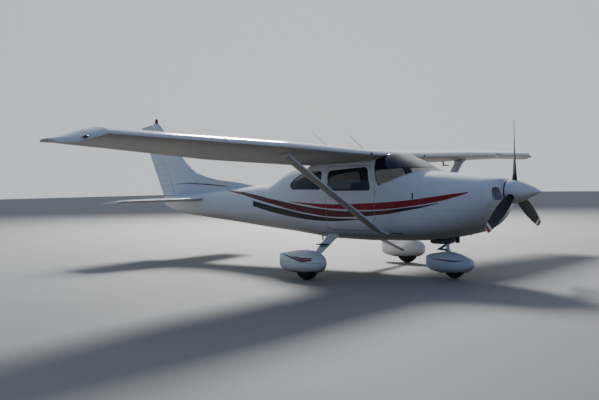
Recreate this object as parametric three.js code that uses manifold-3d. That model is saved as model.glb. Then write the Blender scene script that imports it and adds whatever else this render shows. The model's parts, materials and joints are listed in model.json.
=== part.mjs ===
// A four-seat light aircraft with a strut-braced high wing and a fixed tricycle gear.
// Millimetres. +X is forward, +Y is to the left, +Z is up. The origin is on the ground, under the middle of
// the length and the span.
import * as THREE from "three";
import { mergeVertices } from "three/addons/utils/BufferGeometryUtils.js";
import Module from "manifold-3d";

const wasm = await Module();
wasm.setup();

const DEG = Math.PI / 180;
const QUARTER = Math.PI / 2;

// Clearances and walls
const SEAT_GAP = 0.4; // between two pieces that touch
const RUN_GAP = 8; // beside a piece that moves
const CABIN_WALL = 30;
const COWL_WALL = 8;
const FAIRING_WALL = 6;
const GLASS = 6;
const FLOOR_Z = 590; // the top of the cabin floor
const BEYOND = 400; // how far a cutting tool reaches past what it cuts

// Stations along the body
const FIREWALL_X = 2820;
const BOWL_X = 3740;
const NOSE_X = 3918;
const CABIN_END_X = -430;
const TAIL_END_X = -3650;

// The body's sections, from the nose to the tail. Columns: station x, half width, top, bottom, height of the
// widest point, and the squareness of the upper and of the lower half, where 2 is an ellipse.
const BODY = [
  [3918, 200, 1442, 1085, 1265, 2.2, 2.2],
  [3895, 290, 1462, 1000, 1262, 2.4, 2.4],
  [3840, 370, 1480, 905, 1250, 2.6, 2.6],
  [3740, 430, 1498, 800, 1220, 2.7, 2.6],
  [3600, 462, 1515, 715, 1190, 2.8, 2.6],
  [3450, 482, 1530, 672, 1160, 2.9, 2.7],
  [3176, 505, 1556, 612, 1130, 3.0, 3.0],
  [2820, 535, 1586, 560, 1100, 3.2, 3.4],
  [2640, 546, 1686, 548, 1105, 3.2, 3.6],
  [2400, 554, 1800, 540, 1112, 3.4, 3.8],
  [2150, 558, 1890, 535, 1120, 3.6, 4.0],
  [1800, 560, 1890, 520, 1120, 3.8, 4.0],
  [1100, 560, 1870, 528, 1120, 3.8, 4.0],
  [524, 522, 1734, 574, 1120, 3.4, 3.4],
  [300, 492, 1712, 592, 1115, 3.1, 3.2],
  [30, 455, 1668, 613, 1110, 2.8, 3.0],
  [-200, 425, 1572, 626, 1100, 2.6, 2.8],
  [-430, 392, 1462, 640, 1085, 2.4, 2.6],
  [-1018, 318, 1395, 690, 1075, 2.2, 2.4],
  [-1600, 250, 1350, 740, 1070, 2.1, 2.3],
  [-2500, 165, 1278, 815, 1060, 2.1, 2.2],
  [-3200, 95, 1215, 885, 1060, 2.1, 2.1],
  [-3650, 42, 1190, 1030, 1110, 2.1, 2.1],
];
const BODY_POINTS = 24;

// Wing, a 12% section with 2% camber
const WING_LEAD_X = 2150;
const WING_Z = 1806;
const ROOT_Y = 560;
const TAPER_Y = 2550;
const WING_END_Y = 5200;
const ROOT_CHORD = 1626;
const END_CHORD = 1120;
const LEAD_SHARE = 0.25; // of the taper that is taken off the leading edge
const DIHEDRAL = 1.82 * DEG;
const INCIDENCE = 4.31;
const WASHOUT = 1.61;
const THICKNESS = 0.12;
const CAMBER = 0.02;
const CAMBER_AT = 0.4;
const CHORD_STEPS = [0.85, 0.7, 0.5, 0.3, 0.15, 0.06, 0.015];
const FLAP_HINGE = 0.72; // share of the chord at the centre of the rounded nose
const AILERON_HINGE = 0.77;
const FLAP_Y = [608, 2544];
const AILERON_Y = [2562, 5120];
const TRAIL_THICK = 5;
const NOSE_ARC_STEPS = 6;
const PIN_RADIUS = 9;
const PIN_SLANT = 1; // kept free at the end of the slanted aileron pin

// Wing tips. Columns: span y, set-back of the leading edge, step forward of the trailing edge, share of the
// thickness, drop of the section at its front and at its rear.
const TIP = [
  [5200, 0, 0, 1.0, 0, 0],
  [5300, 25, 0, 0.88, 40, 4],
  [5390, 110, 95, 0.62, 82, 6],
  [5450, 280, 200, 0.36, 100, 5],
  [5486, 520, 270, 0.12, 88, 3],
];

// Wing struts
const STRUT_FOOT = [2226, 588, 638];
const STRUT_HEAD = [1900, 2400, 1812];
const STRUT_CHORD = 165;
const STRUT_THICK = 66;

// Tail
const FIN_BASE_Z = 1150;
const RUDDER_FOOT = [-3318, 1232];
const RUDDER_HEAD = [-4042, 2716];
const RUDDER_TRAIL_FOOT = [-3700, 1232];
const RUDDER_TRAIL_HEAD = [-4420, 2672];
const RUDDER_RADII = [30, 17];
const FIN_TOP_Z = 2738;
const FIN_LEAD = [
  [-900, 1390],
  [-1479, 1477],
  [-2081, 1537],
  [-2525, 1631],
  [-2719, 1721],
  [-2915, 1857],
  [-3047, 1971],
  [-3685, 2600],
  [-3770, 2690],
  [-3850, FIN_TOP_Z],
];
const FIN_HALF = 34;
const TAILPLANE_Y = 1778;
const ELEVATOR_HINGE_X = -3020;
const ELEVATOR_HINGE_Z = 1128;
const ELEVATOR_IN_Y = 118;
const ELEVATOR_OUT_Y = 1770;
const TUBE_RADIUS = 16;
const BEARING = 0.6; // between a pin or tube and its bore
const RUDDER_PIN = [[-3322.9, 0, 1242], [-3300, 0, 1195]];
const BEACON_X = -3900;
const BEACON_RADIUS = 42;
const TOP_Z = 2840;

// Wheels
const MAIN_AXLE = [1395, 1380, 210];
const MAIN_TYRE = { radius: 210, half: 76, rim: 84 };
const NOSE_AXLE = [3087, 0, 172];
const NOSE_TYRE = { radius: 172, half: 60, rim: 70 };
const AXLE_RADIUS = 19;
const LATHE_STEPS = 22;

// Nose leg
const LEG_AXIS_FOOT = [2999, 361];
const LEG_AXIS_HEAD = [2937, 700];
const OLEO_RADIUS = 26;

// Propeller and engine
const SHAFT_Z = 1278;
const PROP_X = 4033;
const PROP_RADIUS = 1003;
const SPINNER_BASE_X = 3950;
const SPINNER_TIP_X = 4420;
const SPINNER_RADIUS = 168;
const BLADES = 3;
const HUB_RADIUS = 58;
const SOCKET_REACH = 112;
const SHAFT_RADIUS = 34;
const ENGINE_FRONT_X = 3840;

const FINISHES = {
  paint: { color: 0xf1f2f3, roughness: 0.22, metalness: 0.0 },
  glass: { color: 0x2c3236, roughness: 0.05, metalness: 0.0, transparent: true, opacity: 0.5 },
  rubber: { color: 0x1b1b1c, roughness: 0.85, metalness: 0.0 },
  metal: { color: 0xb9bcbe, roughness: 0.3, metalness: 1.0 },
  iron: { color: 0x4a4b4d, roughness: 0.6, metalness: 0.8 },
  black: { color: 0x141416, roughness: 0.4, metalness: 0.0 },
  cloth: { color: 0x4c4e53, roughness: 0.9, metalness: 0.0 },
  red: { color: 0xb01818, roughness: 0.15, metalness: 0.0 },
};

// Solids

// A closed geometry as a solid that can be joined and cut.
function solidOf(geometry) {
  const bare = geometry.index ? geometry.toNonIndexed() : geometry.clone();
  bare.deleteAttribute("normal");
  bare.deleteAttribute("uv");
  const merged = mergeVertices(bare, 1e-3);
  return new wasm.Manifold(
    new wasm.Mesh({
      numProp: 3,
      vertProperties: merged.attributes.position.array,
      triVerts: new Uint32Array(merged.index.array),
    }),
  );
}

// A solid, or several joined, as a named mesh.
function piece(name, solid, finish) {
  const made = solid.getMesh();
  const geometry = new THREE.BufferGeometry();
  geometry.setAttribute("position", new THREE.BufferAttribute(made.vertProperties, 3));
  geometry.setIndex(new THREE.BufferAttribute(made.triVerts, 1));
  geometry.computeVertexNormals();
  const mesh = new THREE.Mesh(geometry, new THREE.MeshStandardMaterial(FINISHES[finish]));
  mesh.name = name;
  return mesh;
}

const join = (...solids) => solids.reduce((all, next) => all.add(next));
const cut = (solid, ...tools) => tools.reduce((rest, tool) => rest.subtract(tool), solid);

// A skin through rings of points, closed by a flat fan at each end.
function loft(rings) {
  const count = rings[0].length;
  const faces = [];
  for (let k = 0; k + 1 < rings.length; k += 1) {
    for (let i = 0; i < count; i += 1) {
      const j = (i + 1) % count;
      faces.push([rings[k][i], rings[k][j], rings[k + 1][j]]);
      faces.push([rings[k][i], rings[k + 1][j], rings[k + 1][i]]);
    }
  }
  for (const [ring, turn] of [[rings[0], true], [rings[rings.length - 1], false]]) {
    const middle = ring.reduce((sum, p) => sum.add(p), new THREE.Vector3()).divideScalar(count);
    for (let i = 0; i < count; i += 1) {
      const next = ring[(i + 1) % count];
      faces.push(turn ? [middle, next, ring[i]] : [middle, ring[i], next]);
    }
  }
  const volume = faces.reduce((sum, [a, b, c]) => sum + a.dot(new THREE.Vector3().crossVectors(b, c)), 0);
  const facing = volume < 0 ? faces.map(([a, b, c]) => [a, c, b]) : faces;
  return solidOf(new THREE.BufferGeometry().setFromPoints(facing.flat()));
}

// An outline in the side view, as [x, z] points, given a width from one y to another.
function sidePrism(outline, fromY, toY) {
  const shape = outline instanceof THREE.Shape ? outline : polygon(outline);
  const [low, high] = [Math.min(fromY, toY), Math.max(fromY, toY)];
  const geometry = new THREE.ExtrudeGeometry(shape, { depth: high - low, bevelEnabled: false, curveSegments: 4 });
  return solidOf(geometry.rotateX(QUARTER).translate(0, high, 0));
}

// An outline in the plan view, as [x, y] points, given a height from one z to another.
function planPrism(outline, fromZ, toZ) {
  const geometry = new THREE.ExtrudeGeometry(polygon(outline), { depth: toZ - fromZ, bevelEnabled: false });
  return solidOf(geometry.translate(0, 0, fromZ));
}

function polygon(outline) {
  return new THREE.Shape(outline.map(([x, y]) => new THREE.Vector2(x, y)));
}

// The outline with each corner rounded off.
function rounded(outline, radius) {
  const shape = new THREE.Shape();
  outline.forEach((corner, i) => {
    const here = new THREE.Vector2(...corner);
    const before = new THREE.Vector2(...outline[(i + outline.length - 1) % outline.length]);
    const after = new THREE.Vector2(...outline[(i + 1) % outline.length]);
    const reach = Math.min(radius, here.distanceTo(before) / 2.2, here.distanceTo(after) / 2.2);
    const start = here.clone().add(before.sub(here).setLength(reach));
    const end = here.clone().add(after.sub(here).setLength(reach));
    if (i === 0) shape.moveTo(start.x, start.y);
    else shape.lineTo(start.x, start.y);
    shape.quadraticCurveTo(here.x, here.y, end.x, end.y);
  });
  return shape;
}

// The outline moved inwards by a distance, or outwards by a negative one.
function inset(outline, distance) {
  const points = outline.map(([x, y]) => new THREE.Vector2(x, y));
  const turn = THREE.ShapeUtils.area(points) > 0 ? 1 : -1;
  return points.map((here, i) => {
    const before = points[(i + points.length - 1) % points.length];
    const after = points[(i + 1) % points.length];
    const first = here.clone().sub(before).normalize();
    const second = after.clone().sub(here).normalize();
    const normal = new THREE.Vector2(-first.y - second.y, first.x + second.x).multiplyScalar(turn);
    const reach = (2 * distance) / normal.lengthSq();
    return [here.x + normal.x * reach, here.y + normal.y * reach];
  });
}

function box([x1, x2], [y1, y2], [z1, z2]) {
  const geometry = new THREE.BoxGeometry(x2 - x1, y2 - y1, z2 - z1);
  return solidOf(geometry.translate((x1 + x2) / 2, (y1 + y2) / 2, (z1 + z2) / 2));
}

// A round bar from one point to another.
function bar(from, to, radius, steps = 12, endRadius = radius) {
  const start = new THREE.Vector3(...from);
  const run = new THREE.Vector3(...to).sub(start);
  const geometry = new THREE.CylinderGeometry(endRadius, radius, run.length(), steps);
  geometry.translate(0, run.length() / 2, 0);
  geometry.applyQuaternion(new THREE.Quaternion().setFromUnitVectors(new THREE.Vector3(0, 1, 0), run.normalize()));
  return solidOf(geometry.translate(...from));
}

// A turned shape about an axle across the aircraft. The profile holds [radius, y] points.
function turnedAcross(profile, [x, y, z], steps = LATHE_STEPS) {
  const points = profile.map(([radius, along]) => new THREE.Vector2(radius, along));
  return solidOf(new THREE.LatheGeometry(points, steps).translate(x, y, z));
}

// Body

// The body's section values at a station, straight between the listed ones.
function sectionAt(x) {
  const next = Math.max(1, BODY.findIndex(([station]) => station <= x));
  const [from, to] = [BODY[next - 1], BODY[next]];
  const share = (x - from[0]) / (to[0] - from[0]);
  return from.map((value, i) => value + (to[i] - value) * share);
}

function bodyRing(x, depth) {
  const [, half, top, bottom, middle, upper, lower] = sectionAt(x);
  return Array.from({ length: BODY_POINTS }, (_, i) => {
    const angle = (2 * Math.PI * i) / BODY_POINTS;
    const [across, rise] = [Math.cos(angle), Math.sin(angle)];
    const power = 2 / (rise > 0 ? upper : lower);
    const height = (rise > 0 ? top - middle : middle - bottom) - depth;
    const y = (half - depth) * Math.sign(across) * Math.abs(across) ** power;
    const z = middle + height * Math.sign(rise) * Math.abs(rise) ** power;
    return new THREE.Vector3(x, Math.abs(across) < 1e-9 ? 0 : y, Math.abs(rise) < 1e-9 ? middle : z);
  });
}

// The body's outer form between two stations, drawn in by a depth.
function bodyForm(fromX, toX, depth = 0) {
  const between = BODY.map(([x]) => x).filter((x) => x < fromX - 1 && x > toX + 1);
  return loft([fromX, ...between, toX].map((x) => bodyRing(x, depth)));
}

// Wing

function wingChord(span) {
  const taper = Math.min(1, Math.max(0, (span - TAPER_Y) / (WING_END_Y - TAPER_Y)));
  const chord = ROOT_CHORD - (ROOT_CHORD - END_CHORD) * taper;
  return { chord, taper, lead: WING_LEAD_X - LEAD_SHARE * (ROOT_CHORD - chord) };
}

function camberAt(f) {
  const scale = f < CAMBER_AT ? CAMBER_AT : 1 - CAMBER_AT;
  const rise = f < CAMBER_AT ? 2 * CAMBER_AT * f - f * f : 1 - 2 * CAMBER_AT + 2 * CAMBER_AT * f - f * f;
  return (CAMBER * rise) / (scale * scale);
}

function halfThickAt(f) {
  const root = 0.2969 * Math.sqrt(f);
  return 5 * THICKNESS * (root - 0.126 * f - 0.3516 * f ** 2 + 0.2843 * f ** 3 - 0.1015 * f ** 4);
}

// A point of the wing's skin at a span, a share of the chord and a side: 1 above, -1 below, 0 midway.
function wingPoint(y, f, side, share = 1, raised = 0) {
  const { chord, taper, lead } = wingChord(Math.abs(y));
  const pitch = Math.tan((INCIDENCE - WASHOUT * taper) * DEG);
  const middle = WING_Z + Math.abs(y) * Math.sin(DIHEDRAL) + camberAt(f) * chord - pitch * (f - 0.25) * chord;
  return new THREE.Vector3(lead - f * chord, y, middle + side * halfThickAt(f) * chord * share + raised);
}

function wingRing(y, atY = y) {
  const upper = [1, ...CHORD_STEPS].map((f) => wingPoint(atY, f, 1));
  const lower = [...CHORD_STEPS].reverse().map((f) => wingPoint(atY, f, -1));
  const ring = [...upper, wingPoint(atY, 0, 0), ...lower, wingPoint(atY, 1, -1)];
  return ring.map((p) => p.setY(y));
}

// The section of a hinged surface: a round nose about the hinge and straight sides to a thin trailing edge.
function hingedRing(hinge, radius, trail, up) {
  const back = trail.clone().sub(hinge).normalize();
  const lift = up.clone().multiplyScalar(TRAIL_THICK / 2);
  const nose = Array.from({ length: NOSE_ARC_STEPS + 1 }, (_, i) => {
    const angle = QUARTER - (Math.PI * i) / NOSE_ARC_STEPS;
    const across = up.clone().multiplyScalar(radius * Math.sin(angle));
    return hinge.clone().addScaledVector(back, -radius * Math.cos(angle)).add(across);
  });
  return [trail.clone().add(lift), ...nose, trail.clone().sub(lift)];
}

const noseRadius = (span, f) => halfThickAt(f) * wingChord(span).chord;

// A flap or an aileron, with the pin at its end that seats it in the wing.
function wingSurface(side, [fromY, toY], f, pinY) {
  const up = new THREE.Vector3(0, 0, 1);
  const rings = [fromY, toY].map((span) => {
    const y = side * span;
    return hingedRing(wingPoint(y, f, 0), noseRadius(span, f), wingPoint(y, 1, 0), up);
  });
  const pinEnds = pinY.map((span) => wingPoint(side * span, f, 0).toArray());
  return join(loft(rings), bar(...pinEnds, PIN_RADIUS));
}

// The space behind the wing that the flap and the aileron take.
function surfaceSpace(side) {
  const ahead = (span, f) => wingPoint(span, f, 0).x + noseRadius(span, f) + RUN_GAP;
  const [inner, outer] = [FLAP_Y[0] - RUN_GAP, AILERON_Y[1] + RUN_GAP];
  const behind = -BEYOND;
  const outline = [
    [behind, inner],
    [ahead(inner, FLAP_HINGE), inner],
    [ahead(TAPER_Y, FLAP_HINGE), TAPER_Y],
    [ahead(TAPER_Y, AILERON_HINGE), TAPER_Y],
    [ahead(outer, AILERON_HINGE), outer],
    [behind, outer],
  ];
  return planPrism(outline.map(([x, y]) => [x, side * y]), WING_Z - BEYOND, WING_Z + 2 * BEYOND);
}

function wingTip(side) {
  const rings = TIP.map(([span, lead, trail, share, frontDrop, rearDrop], k) => {
    const y = side * (k === 0 ? span + SEAT_GAP : span);
    const base = wingRing(side * WING_END_Y);
    const front = base[CHORD_STEPS.length + 1].x;
    const back = base[0].x;
    const scale = (front - lead - (back + trail)) / (front - back);
    const rise = (Math.abs(y) - WING_END_Y) * Math.sin(DIHEDRAL);
    return base.map((p) => {
      const f = (front - p.x) / (front - back);
      const level = wingPoint(side * WING_END_Y, f, 0).z;
      const drop = frontDrop + (rearDrop - frontDrop) * f;
      const x = front - lead - f * (front - back) * scale;
      return new THREE.Vector3(x, y, level + (p.z - level) * share + rise - drop);
    });
  });
  return loft(rings);
}

// Cabin

const WINDSCREEN = [
  [2119, 1377],
  [2327, 1454],
  [2549, 1535],
  [2700, 1580],
  [2812, 1604],
  [2812, 2000],
  [2160, 2000],
  [2011, 1756],
  [2028, 1646],
  [2076, 1465],
];
const DOOR = [
  [1113, 1700],
  [1113, 690],
  [2050, 690],
  [2064, 1377],
  [2020, 1480],
  [1965, 1700],
];
const DOOR_WINDOW = [
  [1150, 1625],
  [1150, 1312],
  [1985, 1312],
  [1905, 1672],
];
const SIDE_WINDOW = [
  [1012, 1632],
  [832, 1623],
  [523, 1583],
  [384, 1521],
  [262, 1415],
  [330, 1330],
  [1012, 1330],
];
const REAR_WINDOW = [
  [505, 1900],
  [505, 1660],
  [300, 1560],
  [0, 1470],
  [-340, 1425],
  [-375, 1480],
  [-375, 1900],
];
const BAGGAGE = [
  [300, 1150],
  [300, 780],
  [760, 780],
  [760, 1150],
];
// Hinges stand out of the skin. Each has a pin line, the skin's y there, and the heights of its knuckles.
const DOOR_HINGE = { x: 2062, y: 572, skin: 560, edge: 2044, feet: [840, 1240] };
const BAGGAGE_HINGE = { x: 768, y: 550, skin: 538, edge: 742, feet: [850, 1030] };
const KNUCKLE = { radius: 8, tall: 36, strap: 8, root: 22, reach: 36 };
const DOOR_GAP = 6;
const DOOR_CORNER = 90;
const BAGGAGE_CORNER = 60;
const WINDOW_CORNER = 70;

// The space that the wing takes above the cabin: all that lies over its lower skin.
function roofSpace() {
  const lower = [...CHORD_STEPS].reverse().map((f) => wingPoint(ROOT_Y, f, -1));
  const under = [...lower, wingPoint(ROOT_Y, 1, -1)].map((p) => [p.x, p.z - SEAT_GAP]);
  const nose = wingPoint(ROOT_Y, 0, 0);
  const above = WING_Z + BEYOND;
  const back = under[under.length - 1][0] - SEAT_GAP;
  const front = nose.x + SEAT_GAP;
  return sidePrism([[front, nose.z], ...under, [back, above], [front, above]], -BEYOND * 2, BEYOND * 2);
}

const sideCut = (outline, corner, side) => sidePrism(rounded(outline, corner), side * 150, side * 900);
const wide = (outline, corner) => sidePrism(rounded(outline, corner), -BEYOND * 2, BEYOND * 2);

// The skin of the body between two depths, within an outline seen from the side.
function skinPatch(fromX, toX, outer, inner, tool) {
  return cut(bodyForm(fromX, toX, outer), bodyForm(fromX + 1, toX - 1, inner)).intersect(tool);
}

function cabin() {
  const outer = bodyForm(FIREWALL_X, CABIN_END_X);
  const hollow = bodyForm(FIREWALL_X - CABIN_WALL, CABIN_END_X - 1, CABIN_WALL);
  const above = box([CABIN_END_X - 2, FIREWALL_X], [-BEYOND * 2, BEYOND * 2], [FLOOR_Z, TOP_Z]);
  let shell = cut(outer, hollow.intersect(above), roofSpace());
  shell = cut(shell, wide(WINDSCREEN, 30), wide(REAR_WINDOW, 40), sideCut(BAGGAGE, BAGGAGE_CORNER, 1));
  for (const side of [1, -1]) {
    shell = cut(shell, sideCut(DOOR, DOOR_CORNER, side), sideCut(SIDE_WINDOW, WINDOW_CORNER, side));
    shell = join(shell, ...knuckles(DOOR_HINGE, side, false));
  }
  return join(shell, ...knuckles(BAGGAGE_HINGE, 1, false));
}

function glazing() {
  const pane = (outline, corner, fromX, toX, side) => {
    const edge = inset(outline, SEAT_GAP);
    const tool = side ? sideCut(edge, corner, side) : wide(edge, corner);
    return cut(skinPatch(fromX, toX, 3, 3 + GLASS, tool), roofSpace());
  };
  return [
    piece("windscreen", pane(WINDSCREEN, 30, 2815, 1990), "glass"),
    piece("rear_window", pane(REAR_WINDOW, 40, 515, -385), "glass"),
    piece("side_window_left", pane(SIDE_WINDOW, WINDOW_CORNER, 1020, 250, 1), "glass"),
    piece("side_window_right", pane(SIDE_WINDOW, WINDOW_CORNER, 1020, 250, -1), "glass"),
  ];
}

// The knuckles of a hinge: those of the door, or those of the frame just above them.
function knuckles({ x, y, skin, edge, feet }, side, ofDoor) {
  const { radius, tall, strap, root, reach } = KNUCKLE;
  const across = (low, high) => [side * low, side * high].sort((a, b) => a - b);
  const rise = ofDoor ? 0 : tall + SEAT_GAP;
  const [from, to] = ofDoor ? [edge - reach, edge] : [x + radius / 2, x + reach];
  return feet.map((foot) => {
    const heights = [foot + rise, foot + rise + tall];
    const pin = bar([x, side * y, heights[0]], [x, side * y, heights[1]], radius);
    const over = box([Math.min(from, x), Math.max(to, x)], across(skin + 2, skin + 2 + strap), heights);
    return join(pin, over, box([from, to], across(skin - root, skin + 2 + strap), heights));
  });
}

function cabinDoor(name, side) {
  const form = cut(bodyForm(2080, 1090), bodyForm(2081, 1089, CABIN_WALL));
  const leaf = form.intersect(sideCut(inset(DOOR, DOOR_GAP), DOOR_CORNER, side));
  const opening = sideCut(DOOR_WINDOW, WINDOW_CORNER, side);
  const glass = skinPatch(2080, 1090, 3, 3 + GLASS, sideCut(inset(DOOR_WINDOW, SEAT_GAP), WINDOW_CORNER, side));
  return [
    piece(`door_${name}`, cut(join(leaf, ...knuckles(DOOR_HINGE, side, true)), opening), "paint"),
    piece(`door_window_${name}`, glass, "glass"),
  ];
}

function baggageDoor() {
  const form = cut(bodyForm(790, 270), bodyForm(791, 269, CABIN_WALL));
  const leaf = form.intersect(sideCut(inset(BAGGAGE, DOOR_GAP), BAGGAGE_CORNER, 1));
  return piece("baggage_door", join(leaf, ...knuckles(BAGGAGE_HINGE, 1, true)), "paint");
}

const SEAT_SIDE = [
  [1560, FLOOR_Z + SEAT_GAP],
  [1990, FLOOR_Z + SEAT_GAP],
  [1990, 800],
  [2010, 880],
  [1640, 850],
  [1530, 1290],
  [1510, 1440],
  [1440, 1440],
  [1450, 1290],
  [1540, 800],
];
const BENCH_SIDE = [
  [620, FLOOR_Z + SEAT_GAP],
  [1040, FLOOR_Z + SEAT_GAP],
  [1060, 840],
  [760, 830],
  [610, 1300],
  [520, 1300],
  [600, 830],
];
const PANEL_SIDE = [
  [2395, 1130],
  [2365, 1430],
  [2400, 1455],
  [2785, 1500],
  [2785, 1440],
  [2460, 1400],
  [2470, 1130],
];

function interior() {
  const room = bodyForm(FIREWALL_X - CABIN_WALL - SEAT_GAP, CABIN_END_X, CABIN_WALL + SEAT_GAP);
  const yokes = [-270, 270].map((y) =>
    join(bar([2405, y, 1230], [2270, y, 1230], 16), box([2245, 2275], [y - 130, y + 130], [1205, 1255])),
  );
  return [
    piece("seat_front_left", sidePrism(SEAT_SIDE, 60, 470).intersect(room), "cloth"),
    piece("seat_front_right", sidePrism(SEAT_SIDE, -60, -470).intersect(room), "cloth"),
    piece("seat_rear", sidePrism(BENCH_SIDE, -440, 440).intersect(room), "cloth"),
    piece("instrument_panel", join(sidePrism(PANEL_SIDE, -600, 600).intersect(room), ...yokes), "black"),
  ];
}

// Nose

const BAY_EXIT = [[2822, 3000], [-230, 230], [500, 640]];
const SEAM = [
  [2700, 985],
  [3026, 1004],
  [3741, 1042],
  [3800, 1042],
  [3800, 400],
  [2700, 400],
];
const INLET_Y = [185, 345];
const INLET_Z = [1168, 1345];
const SHAFT_HOLE = 62;
const LEG_HOLE = [[2890, 3040], [-60, 60], [480, 700]];
const PIPE = { x: 3200, y: -100, low: 533, high: 1000, radius: 32 };

function cowling() {
  const [front, back] = [BOWL_X - SEAT_GAP, FIREWALL_X + SEAT_GAP];
  const skin = cut(bodyForm(front, back), bodyForm(front + 1, back - 1, COWL_WALL));
  const below = sidePrism(SEAM, -700, 700);
  const belowGap = sidePrism(SEAM.map(([x, z], i) => [x, i < 4 ? z + SEAT_GAP : z]), -700, 700);
  const pipeHole = bar([PIPE.x, PIPE.y, 500], [PIPE.x, PIPE.y, 900], PIPE.radius + SEAT_GAP, 12);
  const lower = cut(skin.intersect(below), box(...BAY_EXIT), box(...LEG_HOLE), pipeHole);
  const bowlForm = cut(bodyForm(NOSE_X, BOWL_X), bodyForm(NOSE_X - COWL_WALL, BOWL_X - 1, COWL_WALL));
  const inlets = [1, -1].map((side) => {
    const [inner, outer] = INLET_Y.map((y) => side * y).sort((a, b) => a - b);
    return box([BOWL_X + 20, NOSE_X + 20], [inner, outer], INLET_Z);
  });
  const shaftHole = bar([3700, 0, SHAFT_Z], [4000, 0, SHAFT_Z], SHAFT_HOLE, 20);
  return [
    piece("cowl_upper", cut(skin, belowGap), "paint"),
    piece("cowl_lower", lower, "paint"),
    piece("nose_bowl", cut(bowlForm, ...inlets, shaftHole), "paint"),
  ];
}

function engine() {
  const block = box([2950, 3740], [-330, 330], [960, 1330]);
  const crank = bar([3730, 0, SHAFT_Z], [ENGINE_FRONT_X, 0, SHAFT_Z], 50, 16);
  const pipe = bar([PIPE.x, PIPE.y, PIPE.low], [PIPE.x, PIPE.y, PIPE.high], PIPE.radius);
  const mounts = [-240, 240].flatMap((y) =>
    [1010, 1290].map((z) => bar([FIREWALL_X + SEAT_GAP, y, z], [2960, y, z], 18, 8)),
  );
  return piece("engine", join(block, crank, pipe, ...mounts), "iron");
}

// Propeller, about the shaft line

const SPINNER_PROFILE = [
  [0, 1],
  [0.18, 0.985],
  [0.36, 0.86],
  [0.54, 0.67],
  [0.72, 0.44],
  [0.89, 0.18],
  [1, 0],
];
const SPINNER_SKIN = 5;
// Columns: radius, chord, thickness, angle of the blade to the plane of rotation.
const BLADE = [
  [SOCKET_REACH + SEAT_GAP, 76, 70, 58],
  [190, 84, 56, 52],
  [300, 118, 30, 42],
  [480, 158, 20, 33],
  [700, 168, 15, 25],
  [900, 150, 11, 20],
  [975, 112, 8, 18],
  [PROP_RADIUS, 50, 6, 17],
];

function turnedAlong(profile, steps = LATHE_STEPS) {
  const points = profile.map(([radius, along]) => new THREE.Vector2(radius, along));
  return new THREE.LatheGeometry(points, steps).rotateZ(-QUARTER);
}

const along = (x, turn, radius) => [x, radius * Math.sin(turn), radius * Math.cos(turn)];
const bladeTurns = Array.from({ length: BLADES }, (_, i) => (2 * Math.PI * i) / BLADES);

function spinner() {
  const length = SPINNER_TIP_X - SPINNER_BASE_X - 6;
  const outer = SPINNER_PROFILE.map(([x, r]) => [SPINNER_RADIUS * r, length * x]);
  const inner = SPINNER_PROFILE.map(([x, r]) => [(SPINNER_RADIUS - SPINNER_SKIN) * r, (length - 12) * x]);
  const profile = [...inner.reverse(), ...outer];
  const base = SPINNER_BASE_X - PROP_X + 6;
  const holes = bladeTurns.map((turn) => bar(along(0, turn, 90), along(0, turn, 260), 52, 12));
  return cut(solidOf(turnedAlong(profile).translate(base, 0, 0)), ...holes);
}

function hub() {
  const base = SPINNER_BASE_X - PROP_X;
  const plate = bar([base, 0, 0], [base + 6 - SEAT_GAP, 0, 0], SPINNER_RADIUS, LATHE_STEPS);
  const core = bar([base, 0, 0], [62, 0, 0], HUB_RADIUS, 18);
  const shaft = bar([ENGINE_FRONT_X + SEAT_GAP - PROP_X, 0, 0], [base + 2, 0, 0], SHAFT_RADIUS, 16);
  const sockets = bladeTurns.map((turn) => bar([0, 0, 0], along(0, turn, SOCKET_REACH), 42, 12));
  return join(plate, core, shaft, ...sockets);
}

function blade() {
  const rings = BLADE.map(([radius, chord, thick, pitch]) => {
    const [lean, turn] = [Math.cos(pitch * DEG), Math.sin(pitch * DEG)];
    return Array.from({ length: 12 }, (_, i) => {
      const angle = (2 * Math.PI * i) / 12;
      const [a, t] = [(chord / 2) * Math.cos(angle), (thick / 2) * Math.sin(angle)];
      return new THREE.Vector3(a * turn + t * lean, t * turn - a * lean, radius);
    });
  });
  return loft(rings);
}

function propeller() {
  const group = new THREE.Group();
  group.position.set(PROP_X, 0, SHAFT_Z);
  group.add(piece("spinner", spinner(), "paint"), piece("propeller_hub", hub(), "metal"));
  bladeTurns.forEach((turn, i) => {
    const mesh = piece(`blade_${i + 1}`, blade(), "black");
    mesh.rotation.x = -turn;
    group.add(mesh);
  });
  return group;
}

// Gear

// A fairing's form. Columns: station x, half width, top, bottom.
const MAIN_FAIRING = [
  [1756, 14, 288, 236],
  [1736, 52, 332, 186],
  [1676, 86, 386, 138],
  [1580, 112, 426, 106],
  [1417, 126, 447, 88],
  [1262, 124, 436, 88],
  [1080, 102, 408, 104],
  [935, 62, 382, 136],
  [866, 20, 366, 172],
];
const NOSE_FAIRING = [
  [3408, 14, 246, 198],
  [3385, 48, 280, 160],
  [3325, 78, 312, 110],
  [3215, 102, 352, 76],
  [3060, 114, 388, 62],
  [2930, 108, 384, 64],
  [2790, 86, 362, 80],
  [2680, 54, 338, 108],
  [2614, 18, 308, 148],
];
const FAIRING_POINTS = 14;
const FAIRING_POWER = 2 / 2.5;

function fairingForm(table, [, y], depth) {
  const ends = [0, table.length - 1];
  const rings = table.map(([station, half, top, bottom], k) => {
    const x = station + (k === ends[0] ? -depth : k === ends[1] ? depth : 0);
    const [middle, tall] = [(top + bottom) / 2, (top - bottom) / 2];
    return Array.from({ length: FAIRING_POINTS }, (_, i) => {
      const angle = (2 * Math.PI * i) / FAIRING_POINTS;
      const [a, r] = [Math.cos(angle), Math.sin(angle)];
      const across = (half - depth) * Math.sign(a) * Math.abs(a) ** FAIRING_POWER;
      const rise = (tall - depth) * Math.sign(r) * Math.abs(r) ** FAIRING_POWER;
      return new THREE.Vector3(x, y + across, middle + rise);
    });
  });
  return loft(rings);
}

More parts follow.
